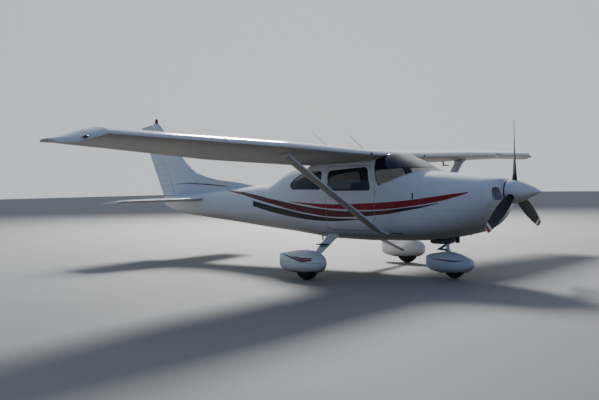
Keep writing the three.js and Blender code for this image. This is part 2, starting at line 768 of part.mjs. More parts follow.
function wheelFairing(table, axle, tyre) {
  const slotHalf = tyre.half + RUN_GAP + 4;
  const reach = tyre.radius + RUN_GAP + 6;
  const slot = box([axle[0] - reach, axle[0] + reach], [axle[1] - slotHalf, axle[1] + slotHalf], [-50, axle[2]]);
  return cut(fairingForm(table, axle, 0), fairingForm(table, axle, FAIRING_WALL), slot);
}

function tyre({ radius, half, rim }) {
  return [
    [rim, -half * 0.7],
    [radius * 0.72, -half],
    [radius * 0.93, -half * 0.86],
    [radius, -half * 0.42],
    [radius, half * 0.42],
    [radius * 0.93, half * 0.86],
    [radius * 0.72, half],
    [rim, half * 0.7],
    [rim, -half * 0.7],
  ];
}

function rim({ half, rim: edge }) {
  const [outer, bore] = [edge - SEAT_GAP, AXLE_RADIUS + 1];
  return [
    [bore, -half * 0.6],
    [outer - 14, -half * 0.5],
    [outer, -half * 0.7],
    [outer, half * 0.7],
    [outer - 14, half * 0.5],
    [bore, half * 0.6],
    [bore, -half * 0.6],
  ];
}

// Sections of the sprung leg. Columns: centre x, y, z, chord, thickness.
const MAIN_LEG = [
  [1165, 400, 624, 212, 62],
  [1186, 500, 579, 208, 58],
  [1236, 732, 475, 196, 50],
  [1293, 981, 363, 140, 42],
  [1352, 1240, 247, 118, 34],
  [1372, 1292, 222, 96, 26],
];
const LEG_ACROSS = new THREE.Vector3(0, 0.409, 0.913);

function mainLeg(side, extra = 0) {
  const rings = MAIN_LEG.map(([x, y, z, chord, thick]) => {
    return Array.from({ length: 12 }, (_, i) => {
      const angle = (2 * Math.PI * i) / 12;
      const a = (chord / 2 + extra) * Math.cos(angle);
      const t = (thick / 2 + extra) * Math.sin(angle);
      return new THREE.Vector3(x + a, side * (y + t * LEG_ACROSS.y), z + t * LEG_ACROSS.z);
    });
  });
  return loft(rings);
}

function mainGear(name, side) {
  const axle = [MAIN_AXLE[0], side * MAIN_AXLE[1], MAIN_AXLE[2]];
  const pin = bar([axle[0], side * 1276, axle[2]], [axle[0], side * 1440, axle[2]], AXLE_RADIUS, 16);
  const flange = box([1358, 1430], [side * 1287 - 11, side * 1287 + 11], [200, 248]);
  const body = bodyForm(1500, 900, -SEAT_GAP);
  return [
    piece(`gear_leg_${name}`, cut(join(mainLeg(side), flange, pin), body), "paint"),
    piece(`wheel_fairing_${name}`, cut(wheelFairing(MAIN_FAIRING, axle, MAIN_TYRE), mainLeg(side, SEAT_GAP * 1.5)), "paint"),
    piece(`main_tyre_${name}`, turnedAcross(tyre(MAIN_TYRE), axle), "rubber"),
    piece(`main_wheel_${name}`, turnedAcross(rim(MAIN_TYRE), axle), "metal"),
  ];
}

function noseGear() {
  const slope = (LEG_AXIS_HEAD[0] - LEG_AXIS_FOOT[0]) / (LEG_AXIS_HEAD[1] - LEG_AXIS_FOOT[1]);
  const onAxis = (z) => [LEG_AXIS_FOOT[0] + slope * (z - LEG_AXIS_FOOT[1]), 0, z];
  const firewall = FIREWALL_X + SEAT_GAP;
  const upper = join(
    bar(onAxis(625), onAxis(920), 36),
    box([firewall, onAxis(890)[0]], [-30, 30], [860, 900]),
    box([firewall, onAxis(690)[0]], [-30, 30], [670, 710]),
  );
  const [axleX, , axleZ] = NOSE_AXLE;
  const crown = onAxis(366)[0];
  const prong = [
    [crown - 34, 385],
    [crown + 40, 385],
    [axleX + 32, axleZ],
    [axleX, axleZ - 30],
    [axleX - 32, axleZ],
  ];
  const link = (from, to) => bar(from, to, 11, 8);
  const inFairing = fairingForm(NOSE_FAIRING, NOSE_AXLE, FAIRING_WALL + SEAT_GAP);
  const crownBar = box([crown - 34, crown + 40], [-80, 80], [352, 392]);
  const prongs = join(crownBar, sidePrism(prong, 68, 80), sidePrism(prong, -68, -80)).intersect(inFairing);
  const lower = join(
    bar(onAxis(360), onAxis(625 - SEAT_GAP), OLEO_RADIUS, 16),
    prongs,
    bar([axleX, -80, axleZ], [axleX, 80, axleZ], AXLE_RADIUS, 16),
    bar(onAxis(470), onAxis(505), 38, 16),
    link(onAxis(488), [2828, 0, 416]),
    link([2828, 0, 416], onAxis(414)),
  );
  const entry = bar(onAxis(340), onAxis(460), 42, 16);
  return [
    piece("nose_leg_upper", upper, "metal"),
    piece("nose_fork", lower, "metal"),
    piece("nose_fairing", cut(wheelFairing(NOSE_FAIRING, NOSE_AXLE, NOSE_TYRE), entry), "paint"),
    piece("nose_tyre", turnedAcross(tyre(NOSE_TYRE), NOSE_AXLE), "rubber"),
    piece("nose_wheel", turnedAcross(rim(NOSE_TYRE), NOSE_AXLE), "metal"),
  ];
}

// Wings and tail

function strut(name, side) {
  const ends = [STRUT_FOOT, STRUT_HEAD].map(([x, y, z]) => new THREE.Vector3(x, side * y, z));
  const run = ends[1].clone().sub(ends[0]).normalize();
  const ahead = new THREE.Vector3(1, 0, 0).addScaledVector(run, -run.x).normalize();
  const up = new THREE.Vector3().crossVectors(run, ahead).normalize();
  const rings = [-0.03, 0.02, 0.98, 1.03].map((share) => {
    const at = ends[0].clone().lerp(ends[1], share);
    return Array.from({ length: 12 }, (_, i) => {
      const angle = (2 * Math.PI * i) / 12;
      const [a, t] = [(STRUT_CHORD / 2) * Math.cos(angle), (STRUT_THICK / 2) * Math.sin(angle)];
      return at.clone().addScaledVector(ahead, a).addScaledVector(up, t);
    });
  });
  const body = bodyForm(2500, 1900, -SEAT_GAP);
  return piece(`wing_strut_${name}`, cut(loft(rings), body, wingUnder(side)), "paint");
}

// All that lies above the wing's lower skin, less a seat gap.
function wingUnder(side) {
  const rings = [ROOT_Y + 10, TAPER_Y, WING_END_Y].map((span) => {
    const y = side * span;
    const lower = CHORD_STEPS.slice(1).reverse().map((f) => wingPoint(y, f, -1, 1, -SEAT_GAP));
    const [front, back] = [lower[0], lower[lower.length - 1]];
    const over = [back, front].map((p) => p.clone().setZ(p.z + BEYOND));
    return [...lower, ...over];
  });
  return loft(rings);
}

function wing(name, side) {
  const spans = [ROOT_Y, TAPER_Y, WING_END_Y];
  const panel = loft(spans.map((span) => wingRing(side * span)));
  const reach = RUN_GAP - SEAT_GAP;
  const flapPin = [FLAP_Y[0] + reach, FLAP_Y[0] - reach];
  const aileronPin = [AILERON_Y[1] - reach, AILERON_Y[1] + reach - PIN_SLANT];
  return [
    piece(`wing_${name}`, cut(panel, surfaceSpace(side)), "paint"),
    piece(`wing_tip_${name}`, wingTip(side), "paint"),
    piece(`flap_${name}`, wingSurface(side, FLAP_Y, FLAP_HINGE, flapPin), "paint"),
    piece(`aileron_${name}`, wingSurface(side, AILERON_Y, AILERON_HINGE, aileronPin), "paint"),
    strut(name, side),
  ];
}

function wingCentre() {
  const half = ROOT_Y - SEAT_GAP;
  return piece("wing_centre", loft([wingRing(-half, ROOT_Y), wingRing(half, ROOT_Y)]), "paint");
}

// The tailplane's plan. Columns: y, leading edge x, trailing edge x of the whole surface, half thickness.
const TAILPLANE = [
  [0, -2240, -3379, 46],
  [1500, -2560, -3379, 32],
  [1700, -2610, -3379, 28],
  [TAILPLANE_Y, -2760, -3370, 14],
];
const TAILPLANE_RISE = Math.tan(3 * DEG);
const FOIL_STEPS = [0.0, 0.02, 0.1, 0.3, 0.6];

const tailplaneZ = (x) => ELEVATOR_HINGE_Z + (x - ELEVATOR_HINGE_X) * TAILPLANE_RISE;
const elevatorRadius = (y) => (Math.abs(y) > 1700 ? 16 : 26 - Math.abs(y) / 200);

function tailplane() {
  const back = ELEVATOR_HINGE_X + 34;
  const mirrored = [...TAILPLANE].reverse().map(([y, ...rest]) => [-y, ...rest]);
  const rings = [...mirrored.slice(0, -1), ...TAILPLANE].map(([y, lead, , half]) => {
    const ring = (side) =>
      FOIL_STEPS.map((f) => {
        const x = lead + (back - lead) * f;
        const thick = half * Math.sin(Math.min(1, f / 0.3) * QUARTER) ** 0.6;
        return new THREE.Vector3(x, y, tailplaneZ(x) + side * thick);
      });
    const rear = [1, -1].map((side) => {
      const thick = elevatorRadius(y);
      return new THREE.Vector3(back, y, tailplaneZ(back) + side * thick);
    });
    return [...ring(1), rear[0], rear[1], ...ring(-1).slice(1).reverse()];
  });
  return loft(rings);
}

function elevator() {
  const up = new THREE.Vector3(0, 0, 1);
  const half = (side) =>
    loft(
      [ELEVATOR_IN_Y, 1690, ELEVATOR_OUT_Y].map((span) => {
        const y = side * span;
        const trailX = span > 1700 ? -3340 : -3379;
        const hinge = new THREE.Vector3(ELEVATOR_HINGE_X, y, ELEVATOR_HINGE_Z);
        return hingedRing(hinge, elevatorRadius(y), new THREE.Vector3(trailX, y, tailplaneZ(trailX)), up);
      }),
    );
  const ends = [-1, 1].map((side) => [ELEVATOR_HINGE_X, side * (ELEVATOR_IN_Y + 10), ELEVATOR_HINGE_Z]);
  return join(half(1), half(-1), bar(ends[0], ends[1], TUBE_RADIUS, 16));
}

function rudder() {
  const side = new THREE.Vector3(0, 1, 0);
  const feet = [
    [RUDDER_FOOT, RUDDER_TRAIL_FOOT, RUDDER_RADII[0]],
    [RUDDER_HEAD, RUDDER_TRAIL_HEAD, RUDDER_RADII[1]],
  ];
  const blade = loft(
    feet.map(([hinge, trail, radius]) => {
      const at = ([x, z]) => new THREE.Vector3(x, 0, z);
      return hingedRing(at(hinge), radius, at(trail), side);
    }),
  );
  return join(blade, bar(...RUDDER_PIN, PIN_RADIUS, 16));
}

function fin() {
  const slope = (RUDDER_HEAD[0] - RUDDER_FOOT[0]) / (RUDDER_HEAD[1] - RUDDER_FOOT[1]);
  const rearX = (z) => RUDDER_FOOT[0] + slope * (z - RUDDER_FOOT[1]) + RUDDER_RADII[0] + RUN_GAP + 8;
  const leadX = (z) => {
    const next = Math.max(1, FIN_LEAD.findIndex(([, height]) => height >= z));
    const [from, to] = [FIN_LEAD[next - 1], FIN_LEAD[next]];
    return from[0] + ((to[0] - from[0]) * (z - from[1])) / (to[1] - from[1]);
  };
  const levels = [FIN_BASE_Z, ...FIN_LEAD.slice(1).map(([, z]) => z)];
  const rings = levels.map((z) => {
    const lead = z < FIN_LEAD[0][1] ? FIN_LEAD[0][0] : leadX(z);
    const back = rearX(z);
    const rise = (z - FIN_BASE_Z) / (TOP_Z - FIN_BASE_Z);
    const half = FIN_HALF * (1 - 0.48 * rise);
    const spine = Math.min(lead, back + 900 - 420 * rise);
    const side = (way) => [
      new THREE.Vector3((lead + spine) / 2, way * half * (lead > spine + 1 ? 0.35 : 0.0), z),
      new THREE.Vector3(spine - 20, way * half * 0.55, z),
      new THREE.Vector3(spine + (back - spine) * 0.35, way * half, z),
      new THREE.Vector3(back, way * half * 0.86, z),
    ];
    return [new THREE.Vector3(lead + 2, 0, z), ...side(1), ...side(-1).reverse()];
  });
  return loft(rings);
}

// The tailcone is a thin skin behind its front bulkhead, and solid where it carries the tail.
const TAIL_WALL = 10;
const BULKHEAD = 12;
const TAIL_HOLLOW_X = [CABIN_END_X - SEAT_GAP - BULKHEAD, -2150];
const ACCESS = { radius: 120, z: 1085 };

function tailcone() {
  const front = CABIN_END_X - SEAT_GAP;
  const access = bar([front + 1, 0, ACCESS.z], [front - BULKHEAD - 1, 0, ACCESS.z], ACCESS.radius, 20);
  return cut(bodyForm(front, TAIL_END_X), bodyForm(...TAIL_HOLLOW_X, TAIL_WALL), access);
}

function tail() {
  const cone = tailcone();
  const tubeHole = bar([ELEVATOR_HINGE_X, -300, ELEVATOR_HINGE_Z], [ELEVATOR_HINGE_X, 300, ELEVATOR_HINGE_Z], TUBE_RADIUS + BEARING, 16);
  const pinHole = bar([-3340, 0, 1277.1], [-3298, 0, 1190.9], PIN_RADIUS + BEARING, 16);
  const seat = (solid) => solid.translate(0, 0, SEAT_GAP).add(solid.translate(0, 0, -SEAT_GAP)).add(solid);
  const plane = tailplane();
  const clear = bodyForm(-600, TAIL_END_X, -SEAT_GAP);
  const lamp = join(
    bar([BEACON_X, 0, FIN_TOP_Z + SEAT_GAP], [BEACON_X, 0, 2800], BEACON_RADIUS, 16),
    bar([BEACON_X, 0, 2800], [BEACON_X, 0, TOP_Z], BEACON_RADIUS, 16, BEACON_RADIUS * 0.5),
  );
  return [
    piece("tailcone", cut(cone, seat(plane), tubeHole, pinHole), "paint"),
    piece("tailplane", plane, "paint"),
    piece("elevator", elevator(), "paint"),
    piece("fin", cut(fin(), clear, seat(plane)), "paint"),
    piece("rudder", rudder(), "paint"),
    piece("beacon", lamp, "red"),
  ];
}

const aircraft = new THREE.Group();
aircraft.add(piece("cabin", cabin(), "paint"), ...glazing(), ...interior(), baggageDoor());
aircraft.add(...cowling(), engine(), propeller(), wingCentre(), ...tail(), ...noseGear());
for (const [name, side] of [["left", 1], ["right", -1]]) {
  aircraft.add(...cabinDoor(name, side), ...wing(name, side), ...mainGear(name, side));
}

export default aircraft;
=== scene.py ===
"""Looks of a parked four-seat light aircraft with a strut-braced high wing, in metres, +X ahead, +Z up."""
from __future__ import annotations

import json
import logging
import math
from dataclasses import dataclass
from enum import Enum
from typing import Callable, Iterable, Sequence

import bmesh
import bpy
import numpy as np
from mathutils import Matrix, Vector

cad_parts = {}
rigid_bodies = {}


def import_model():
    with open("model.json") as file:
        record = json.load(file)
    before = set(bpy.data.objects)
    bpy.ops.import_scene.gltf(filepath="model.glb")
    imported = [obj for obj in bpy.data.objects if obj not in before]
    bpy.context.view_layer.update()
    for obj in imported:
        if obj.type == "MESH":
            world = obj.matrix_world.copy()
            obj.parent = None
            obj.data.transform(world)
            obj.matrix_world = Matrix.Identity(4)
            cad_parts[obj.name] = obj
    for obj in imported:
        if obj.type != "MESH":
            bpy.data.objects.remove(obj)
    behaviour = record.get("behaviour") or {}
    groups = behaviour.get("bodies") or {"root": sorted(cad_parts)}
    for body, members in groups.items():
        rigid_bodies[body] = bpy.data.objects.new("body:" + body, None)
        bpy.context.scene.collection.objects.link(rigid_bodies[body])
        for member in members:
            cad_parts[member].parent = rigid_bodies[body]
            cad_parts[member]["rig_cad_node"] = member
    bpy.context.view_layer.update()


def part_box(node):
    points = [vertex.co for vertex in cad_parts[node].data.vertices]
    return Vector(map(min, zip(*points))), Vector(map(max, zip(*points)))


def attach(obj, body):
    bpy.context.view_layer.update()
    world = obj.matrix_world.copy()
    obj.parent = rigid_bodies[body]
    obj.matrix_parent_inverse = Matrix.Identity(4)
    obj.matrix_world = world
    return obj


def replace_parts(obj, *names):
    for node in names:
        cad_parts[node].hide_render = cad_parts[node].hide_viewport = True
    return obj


LOG = logging.getLogger("aircraft")
Array = np.ndarray
Piece = bpy.types.Object
Place = tuple[float, float, float]
Outline = Sequence[tuple[float, float]]
Points = tuple[tuple[float, float], ...]
Table = tuple[tuple[float, ...], ...]
Skin = tuple[Array, list[tuple[int, ...]]]  # points and faces
MM = 0.001


class Side(Enum):
    """The two sides of the aircraft, by the sign of y."""

    LEFT = 1
    RIGHT = -1

    @property
    def word(self) -> str:
        """The side's name in node and body names."""
        return self.name.lower()


# Materials


def linear(hex_colour: str) -> tuple[float, float, float, float]:
    """Turn an sRGB hex colour such as "#a0b0c0" into linear RGBA.

    Args:
        hex_colour: six hex digits with or without a leading hash.

    Returns:
        The linear colour with alpha 1.
    """
    digits = hex_colour.lstrip("#")
    srgb = np.array([int(digits[i:i + 2], 16) for i in (0, 2, 4)]) / 255
    value = np.where(srgb <= 0.04045, srgb / 12.92, ((srgb + 0.055) / 1.055) ** 2.4)
    return (*map(float, value), 1.0)


def add_node(tree: bpy.types.NodeTree, kind: str, values: dict | None = None,
             **settings: object) -> bpy.types.Node:
    """Add a shader node, set its properties, and set or link its inputs.

    Args:
        tree: the material's node tree.
        kind: the node's type name.
        values: input name or number to a value, or to an output socket to link.
        settings: the node's own properties.

    Returns:
        The new node.
    """
    node = tree.nodes.new(kind)
    for name, value in settings.items():
        setattr(node, name, value)
    for key, value in (values or {}).items():
        if isinstance(value, bpy.types.NodeSocket):
            tree.links.new(value, node.inputs[key])
        else:
            node.inputs[key].default_value = value
    return node


@dataclass(frozen=True)
class Finish:
    """One finish: what the material is, and how its surface was made."""

    name: str
    colour: str
    roughness: float
    second: str = ""  # a second colour that a slow noise brings in
    metallic: float = 0.0
    ior: float = 1.5
    coat: float = 0.0
    alpha: float = 1.0
    grain_mm: float = 40.0  # size of the colour and roughness pattern
    unevenness: float = 0.05  # how far roughness varies
    bump_mm: float = 0.0  # height of the fine relief
    relief_mm: float = 4.0  # size of the fine relief
    woven: bool = False
    under: str = ""  # the colour it is turned to where it faces down: painted underside shade, with some dust
    under_from: float = 0.05  # the normal's z at which the painted underside shade starts

    def material(self) -> bpy.types.Material:
        """Make the material once and return it.

        Returns:
            The material.
        """
        ready = bpy.data.materials.get(self.name)
        if ready:
            return ready
        made = bpy.data.materials.new(self.name)
        made.use_nodes = True
        tree = made.node_tree
        shader = tree.nodes["Principled BSDF"]
        shader.inputs["Metallic"].default_value = self.metallic
        shader.inputs["Coat Weight"].default_value = self.coat
        shader.inputs["Coat Roughness"].default_value = 0.04
        shader.inputs["Alpha"].default_value = self.alpha
        if not self.metallic:
            shader.inputs["IOR"].default_value = self.ior
        place = add_node(tree, "ShaderNodeTexCoord")
        slow = add_node(tree, "ShaderNodeTexNoise", {"Vector": place.outputs["Object"],
                                                     "Scale": 1 / (self.grain_mm * MM), "Detail": 3.0})
        mix = add_node(tree, "ShaderNodeMix", {0: slow.outputs["Fac"], 6: linear(self.colour),
                                               7: linear(self.second or self.colour)}, data_type="RGBA")
        colour = mix.outputs[2]
        low, high = self.roughness - self.unevenness, self.roughness + self.unevenness
        spread = add_node(tree, "ShaderNodeMapRange", {"Value": slow.outputs["Fac"], "To Min": max(0.02, low),
                                                       "To Max": high})
        rough = spread.outputs["Result"]
        # Painted shade with some dust: the more a face looks down, the more its colour goes to the under
        # colour, and the rougher it gets.
        if self.under:
            normal = add_node(tree, "ShaderNodeNewGeometry").outputs["Normal"]
            level = add_node(tree, "ShaderNodeSeparateXYZ", {0: normal}).outputs["Z"]
            underside_share = add_node(tree, "ShaderNodeMapRange", {"Value": level, "From Min": self.under_from,
                                                         "From Max": -0.75})
            shade_and_dust = add_node(tree, "ShaderNodeMix", {0: underside_share.outputs["Result"], 6: colour,
                                                     7: linear(self.under)}, data_type="RGBA")
            colour = shade_and_dust.outputs[2]
            dull = add_node(tree, "ShaderNodeMath", {0: underside_share.outputs["Result"], 1: UNDERSIDE_DULLS, 2: rough},
                            operation="MULTIPLY_ADD")
            rough = dull.outputs[0]
        tree.links.new(colour, shader.inputs["Base Color"])
        tree.links.new(rough, shader.inputs["Roughness"])
        if self.bump_mm:
            self._relief(tree, place.outputs["Object"], shader)
        return made

    def _relief(self, tree: bpy.types.NodeTree, place: bpy.types.NodeSocket, shader: bpy.types.Node) -> None:
        """Add the fine relief: a cell pattern for woven cloth, or a noise.

        Args:
            tree: the node tree.
            place: Object coordinates.
            shader: what takes the relief.
        """
        scale = 1 / (self.relief_mm * MM)
        if self.woven:
            wave = add_node(tree, "ShaderNodeTexVoronoi",
                            {"Vector": place, "Scale": scale, "Randomness": 0.15})
            height = wave.outputs["Distance"]
        else:
            height = add_node(tree, "ShaderNodeTexNoise", {"Vector": place, "Scale": scale}).outputs["Fac"]
        bump = add_node(tree, "ShaderNodeBump", {"Height": height, "Distance": self.bump_mm * MM,
                                                 "Strength": 0.6})
        tree.links.new(bump.outputs["Normal"], shader.inputs["Normal"])


# Sprayed two-pack enamel on sheet aluminium: a clear gloss over a faintly uneven skin, with painted shade and
# some dust where it faces down.
# The under colour is painted shade with some dust; the next value is how much rougher the paint gets there.
UNDER_SHADE_AND_DUST = "#96918a"
UNDERSIDE_DULLS = 0.45
WHITE = Finish("sprayed_white_enamel", "#f0f1f2", 0.17, "#e9ebee", grain_mm=420, bump_mm=0.25,
               relief_mm=260, under=UNDER_SHADE_AND_DUST)
WING_WHITE = Finish("sprayed_white_enamel_wing", "#eceef0", 0.14, "#e2e5e9", grain_mm=600, bump_mm=0.6,
                    relief_mm=330, under=UNDER_SHADE_AND_DUST, under_from=-0.40)
RED = Finish("sprayed_red_enamel", "#ab1017", 0.26, "#9c0d13", coat=0.1, grain_mm=300)
MAROON = Finish("sprayed_maroon_enamel", "#720f18", 0.28, "#640c14", coat=0.1, grain_mm=300)
BLACK = Finish("sprayed_black_enamel", "#0b0d18", 0.30, "#0f111c", grain_mm=300)
STRUT_WHITE = Finish("sprayed_white_strut", "#e6e8ea", 0.25, "#dcdfe2", grain_mm=200, under=UNDER_SHADE_AND_DUST)
# Cast acrylic sheet: clear, faintly grey, with a hard polish.
ACRYLIC = Finish("cast_acrylic_sheet", "#1d2226", 0.04, "#22282c", ior=1.49, alpha=0.36, coat=1.0,
                 unevenness=0.01)
TINTED = Finish("smoked_acrylic_sheet", "#14181b", 0.04, "#181c20", ior=1.49, alpha=0.60, coat=1.0,
                unevenness=0.01)
SHADE = Finish("blue_tinted_acrylic", "#0d1624", 0.04, "#101a2a", ior=1.49, alpha=0.90, coat=1.0,
               unevenness=0.01)
# Moulded black rubber: matt, with a dusty grey bloom.
RUBBER = Finish("moulded_tyre_rubber", "#1a1a1b", 0.82, "#252423", grain_mm=30, bump_mm=0.5, relief_mm=3)
ALLOY = Finish("cast_magnesium_wheel", "#a9abad", 0.42, "#8f9193", metallic=1.0, grain_mm=25, bump_mm=0.2)
STEEL = Finish("polished_steel", "#c7c9cb", 0.18, "#b4b6b8", metallic=1.0, grain_mm=30)
DARK_STEEL = Finish("heat_stained_steel", "#4e4640", 0.5, "#39332f", metallic=0.9, grain_mm=20, bump_mm=0.2)
# Painted shade with some exhaust stain: a dark grey enamel for the nose leg's bulge under the cowl.
SOOT_AND_SHADE_WHITE = Finish("exhaust_stained_enamel", "#6e6a65", 0.55, "#4a4744", grain_mm=60)
BLADE_BLACK = Finish("matt_black_blade_paint", "#151517", 0.42, "#1f1f22", grain_mm=60, bump_mm=0.1)
BLADE_GREY = Finish("worn_grey_blade_back", "#2a2b2e", 0.5, "#343538", grain_mm=80)
TIP_WHITE = Finish("white_blade_tip_paint", "#e9e7e4", 0.35, "#dddad6", grain_mm=50)
TIP_RED = Finish("red_blade_tip_paint", "#b3242a", 0.35, "#a51d24", grain_mm=50)
BARE = Finish("brushed_aluminium", "#b7b9bb", 0.3, "#a2a4a7", metallic=1.0, grain_mm=40, bump_mm=0.1)
BLACK_PLASTIC = Finish("moulded_black_plastic", "#1b1c1e", 0.5, "#232427", grain_mm=15, bump_mm=0.3,
                       relief_mm=2)
DIAL_GLASS = Finish("dial_face_glass", "#0b0c0e", 0.08, "#101215", coat=1.0)
DIAL_RING = Finish("anodised_bezel", "#55585c", 0.35, "#4a4d51", metallic=0.8)
LINER = Finish("grey_vinyl_liner", "#6d6d6b", 0.6, "#62625f", grain_mm=60, bump_mm=0.4, relief_mm=3)
CARPET = Finish("grey_cabin_carpet", "#45464a", 0.95, "#3a3b3f", grain_mm=25, bump_mm=1.5, relief_mm=5)
# Woven seat cloth, its thread drawn as coarse as it needs to show.
CLOTH = Finish("woven_seat_cloth", "#5a5c62", 0.85, "#4b4d53", grain_mm=40, bump_mm=1.0, relief_mm=5,
               woven=True)
SEAT_TRIM = Finish("grained_seat_vinyl", "#37383c", 0.55, "#2e2f33", grain_mm=30, bump_mm=0.6, relief_mm=3)
BEACON_RED = Finish("red_glass_lens", "#a80f12", 0.08, "#8f0c0f", alpha=0.92, coat=1.0)
LAMP_GREEN = Finish("green_glass_lens", "#0c3d24", 0.06, "#0a2e1c", coat=1.0)
LAMP_RED = Finish("red_lamp_lens", "#7c0d10", 0.06, "#5f090b", coat=1.0)
LAMP_CLEAR = Finish("clear_lamp_glass", "#43484d", 0.08, "#33373b", metallic=0.3, coat=0.6)
# Painted shade: a flat near-black for gaps, slots, openings and hollows that light doesn't reach.
DARK = Finish("unlit_gap", "#0d0d0e", 0.8, "#141415", grain_mm=40)
# Rolled studio floor: pale, matt, faintly cloudy.
FLOOR = Finish("pale_studio_floor", "#989692", 0.8, "#92908c", grain_mm=2500)


# Meshes


def mesh_object(name: str, points: Array, faces: Iterable[Sequence[int]], body: str,
                finishes: Sequence[Finish], smooth_deg: float = 40.0) -> Piece:
    """Make a piece from points and faces, dress it and let it ride on a body.

    Args:
        name: the piece's name.
        points: an n by 3 array in metres.
        faces: index tuples, counter-clockwise seen from outside.
        body: the body it moves with.
        finishes: its materials, in slot order.
        smooth_deg: edges sharper than this stay sharp.

    Returns:
        The new object, at the origin.
    """
    made = raw_object(name, points, faces)
    mesh = made.data
    mesh.validate()
    mesh.update()
    for finish in finishes:
        mesh.materials.append(finish.material())
    soften(made, smooth_deg)
    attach(made, body)
    LOG.info("%s: %d faces on %s", name, len(mesh.polygons), body)
    return made


def soften(made: Piece, sharp_deg: float = 40.0) -> None:
    """Shade an object smooth, with edges over an angle kept sharp.

    Args:
        made: the object.
        sharp_deg: the angle.
    """
    mesh = made.data
    mesh.polygons.foreach_set("use_smooth", np.ones(len(mesh.polygons), bool))
    mesh.set_sharp_from_angle(angle=math.radians(sharp_deg))


def grid_faces(rows: int, columns: int, around: bool) -> Array:
    """Quads over a grid of points numbered row by row.

    Args:
        rows: number of rings.
        columns: points in each ring.
        around: whether each ring closes on itself.

    Returns:
        An n by 4 array of point numbers.
    """
    last = columns if around else columns - 1
    r, c = np.meshgrid(np.arange(rows - 1), np.arange(last), indexing="ij")
    here, beside = r * columns + c, r * columns + (c + 1) % columns
    quads = np.stack([here, beside, beside + columns, here + columns], axis=-1)
    return quads.reshape(-1, 4)


def circle(steps: int) -> Array:
    """Even angles once round, without the last."""
    return np.linspace(0, 2 * np.pi, steps, endpoint=False)


def signed(value: Array, power: Array | float) -> Array:
    """A value's size raised to a power, with its sign kept."""
    return np.sign(value) * np.abs(value) ** power


def teardrop(steps: int) -> tuple[Array, Array]:
    """A teardrop section of half chord 1: along = cos t, across = sin t·sqrt(0.62 + 0.38·cos t)."""
    along = np.cos(circle(steps))
    return along, np.sin(circle(steps)) * np.sqrt(np.clip(0.62 + 0.38 * along, 0, 1))


def bead_sides(rings: Array) -> Array:
    """Which points of a hinged surface's rings carry beads: 1 on the first face, -1 on the other.

    Args:
        rings: rings by points by 3.

    Returns:
        1, -1 or 0 for each point of a ring.
    """
    fade = np.zeros(rings.shape[1])
    fade[1:6], fade[-7:-2] = 1, -1
    return fade


def signed_volume(points: Array, faces: Sequence[Sequence[int]]) -> float:
    """Six times the volume that the faces close, as the sum of a·(b×c) over a fan of each face.

    Args:
        points: an n by 3 array in metres.
        faces: index tuples.

    Returns:
        Negative where the faces look inwards.
    """
    total = 0.0
    by_size: dict[int, list[Sequence[int]]] = {}
    for face in faces:
        by_size.setdefault(len(face), []).append(face)
    for size, group in by_size.items():
        corners = points[np.array(group)]
        for k in range(1, size - 1):
            cross = np.cross(corners[:, k], corners[:, k + 1])
            total += float(np.einsum("ij,ij->", corners[:, 0], cross))
    return total


def outward(points: Array, faces: list[tuple[int, ...]]) -> Skin:
    """The skin with its faces turned outwards, by the sign of its volume."""
    return points, faces if signed_volume(points, faces) > 0 else [face[::-1] for face in faces]


def lofted(rings: Array) -> Skin:
    """A skin through closed rings, with a flat face at each end.

    Args:
        rings: an array of rings by points by 3.

    Returns:
        Points and faces, facing outwards.
    """
    rows, columns = rings.shape[:2]
    faces = [tuple(q) for q in grid_faces(rows, columns, True)]
    faces.append(tuple(range(columns - 1, -1, -1)))
    faces.append(tuple((rows - 1) * columns + np.arange(columns)))
    return outward(rings.reshape(-1, 3), faces)


def prism(outline: Array, axis: int, stations: Sequence[float]) -> Skin:
    """An outline in the two other axes, carried along one axis through its stations."""
    return lofted(np.stack([np.insert(outline, axis, at, axis=1) for at in stations]))


def together(*parts: tuple[Array, Sequence[Sequence[int]]]) -> Skin:
    """Several sets of points and faces as one set.

    Args:
        parts: points and faces of each.

    Returns:
        Points and faces.
    """
    points, faces, start = [], [], 0
    for some, several in parts:
        points.append(np.asarray(some))
        faces += [tuple(int(i) + start for i in face) for face in several]
        start += len(some)
    return np.concatenate(points), faces


def turned(profile: Outline, centre: Sequence[float], axis: str,
           steps: int = 64) -> Skin:
    """A profile of (radius, along) turned about an axis: p = centre + along·axis + radius·(cos t, sin t).

    Args:
        profile: a closed profile, or one whose ends have radius 0.
        centre: the axis's zero point.
        axis: "x", "y" or "z".
        steps: points around.

    Returns:
        Points and faces.
    """
    shape = np.array(profile)
    turn = circle(steps)
    radius, along = shape[:, 0][:, None], shape[:, 1][:, None]
    a, b, c = radius * np.cos(turn), radius * np.sin(turn), along + 0 * turn
    order = {"x": (c, a, b), "y": (b, c, a), "z": (a, b, c)}[axis]
    rings = np.stack(order, axis=-1) + np.array(centre)
    return merged_loop(rings) if np.allclose(shape[0], shape[-1]) else lofted(rings)


def merged_loop(rings: Array) -> Skin:
    """A skin whose last ring is its first: a closed tube or tyre.

    Args:
        rings: rings by points by 3.

    Returns:
        Points and faces.
    """
    rows, columns = rings.shape[0] - 1, rings.shape[1]
    faces = grid_faces(rows + 1, columns, True) % (rows * columns)
    return outward(rings[:-1].reshape(-1, 3), [tuple(q) for q in faces])


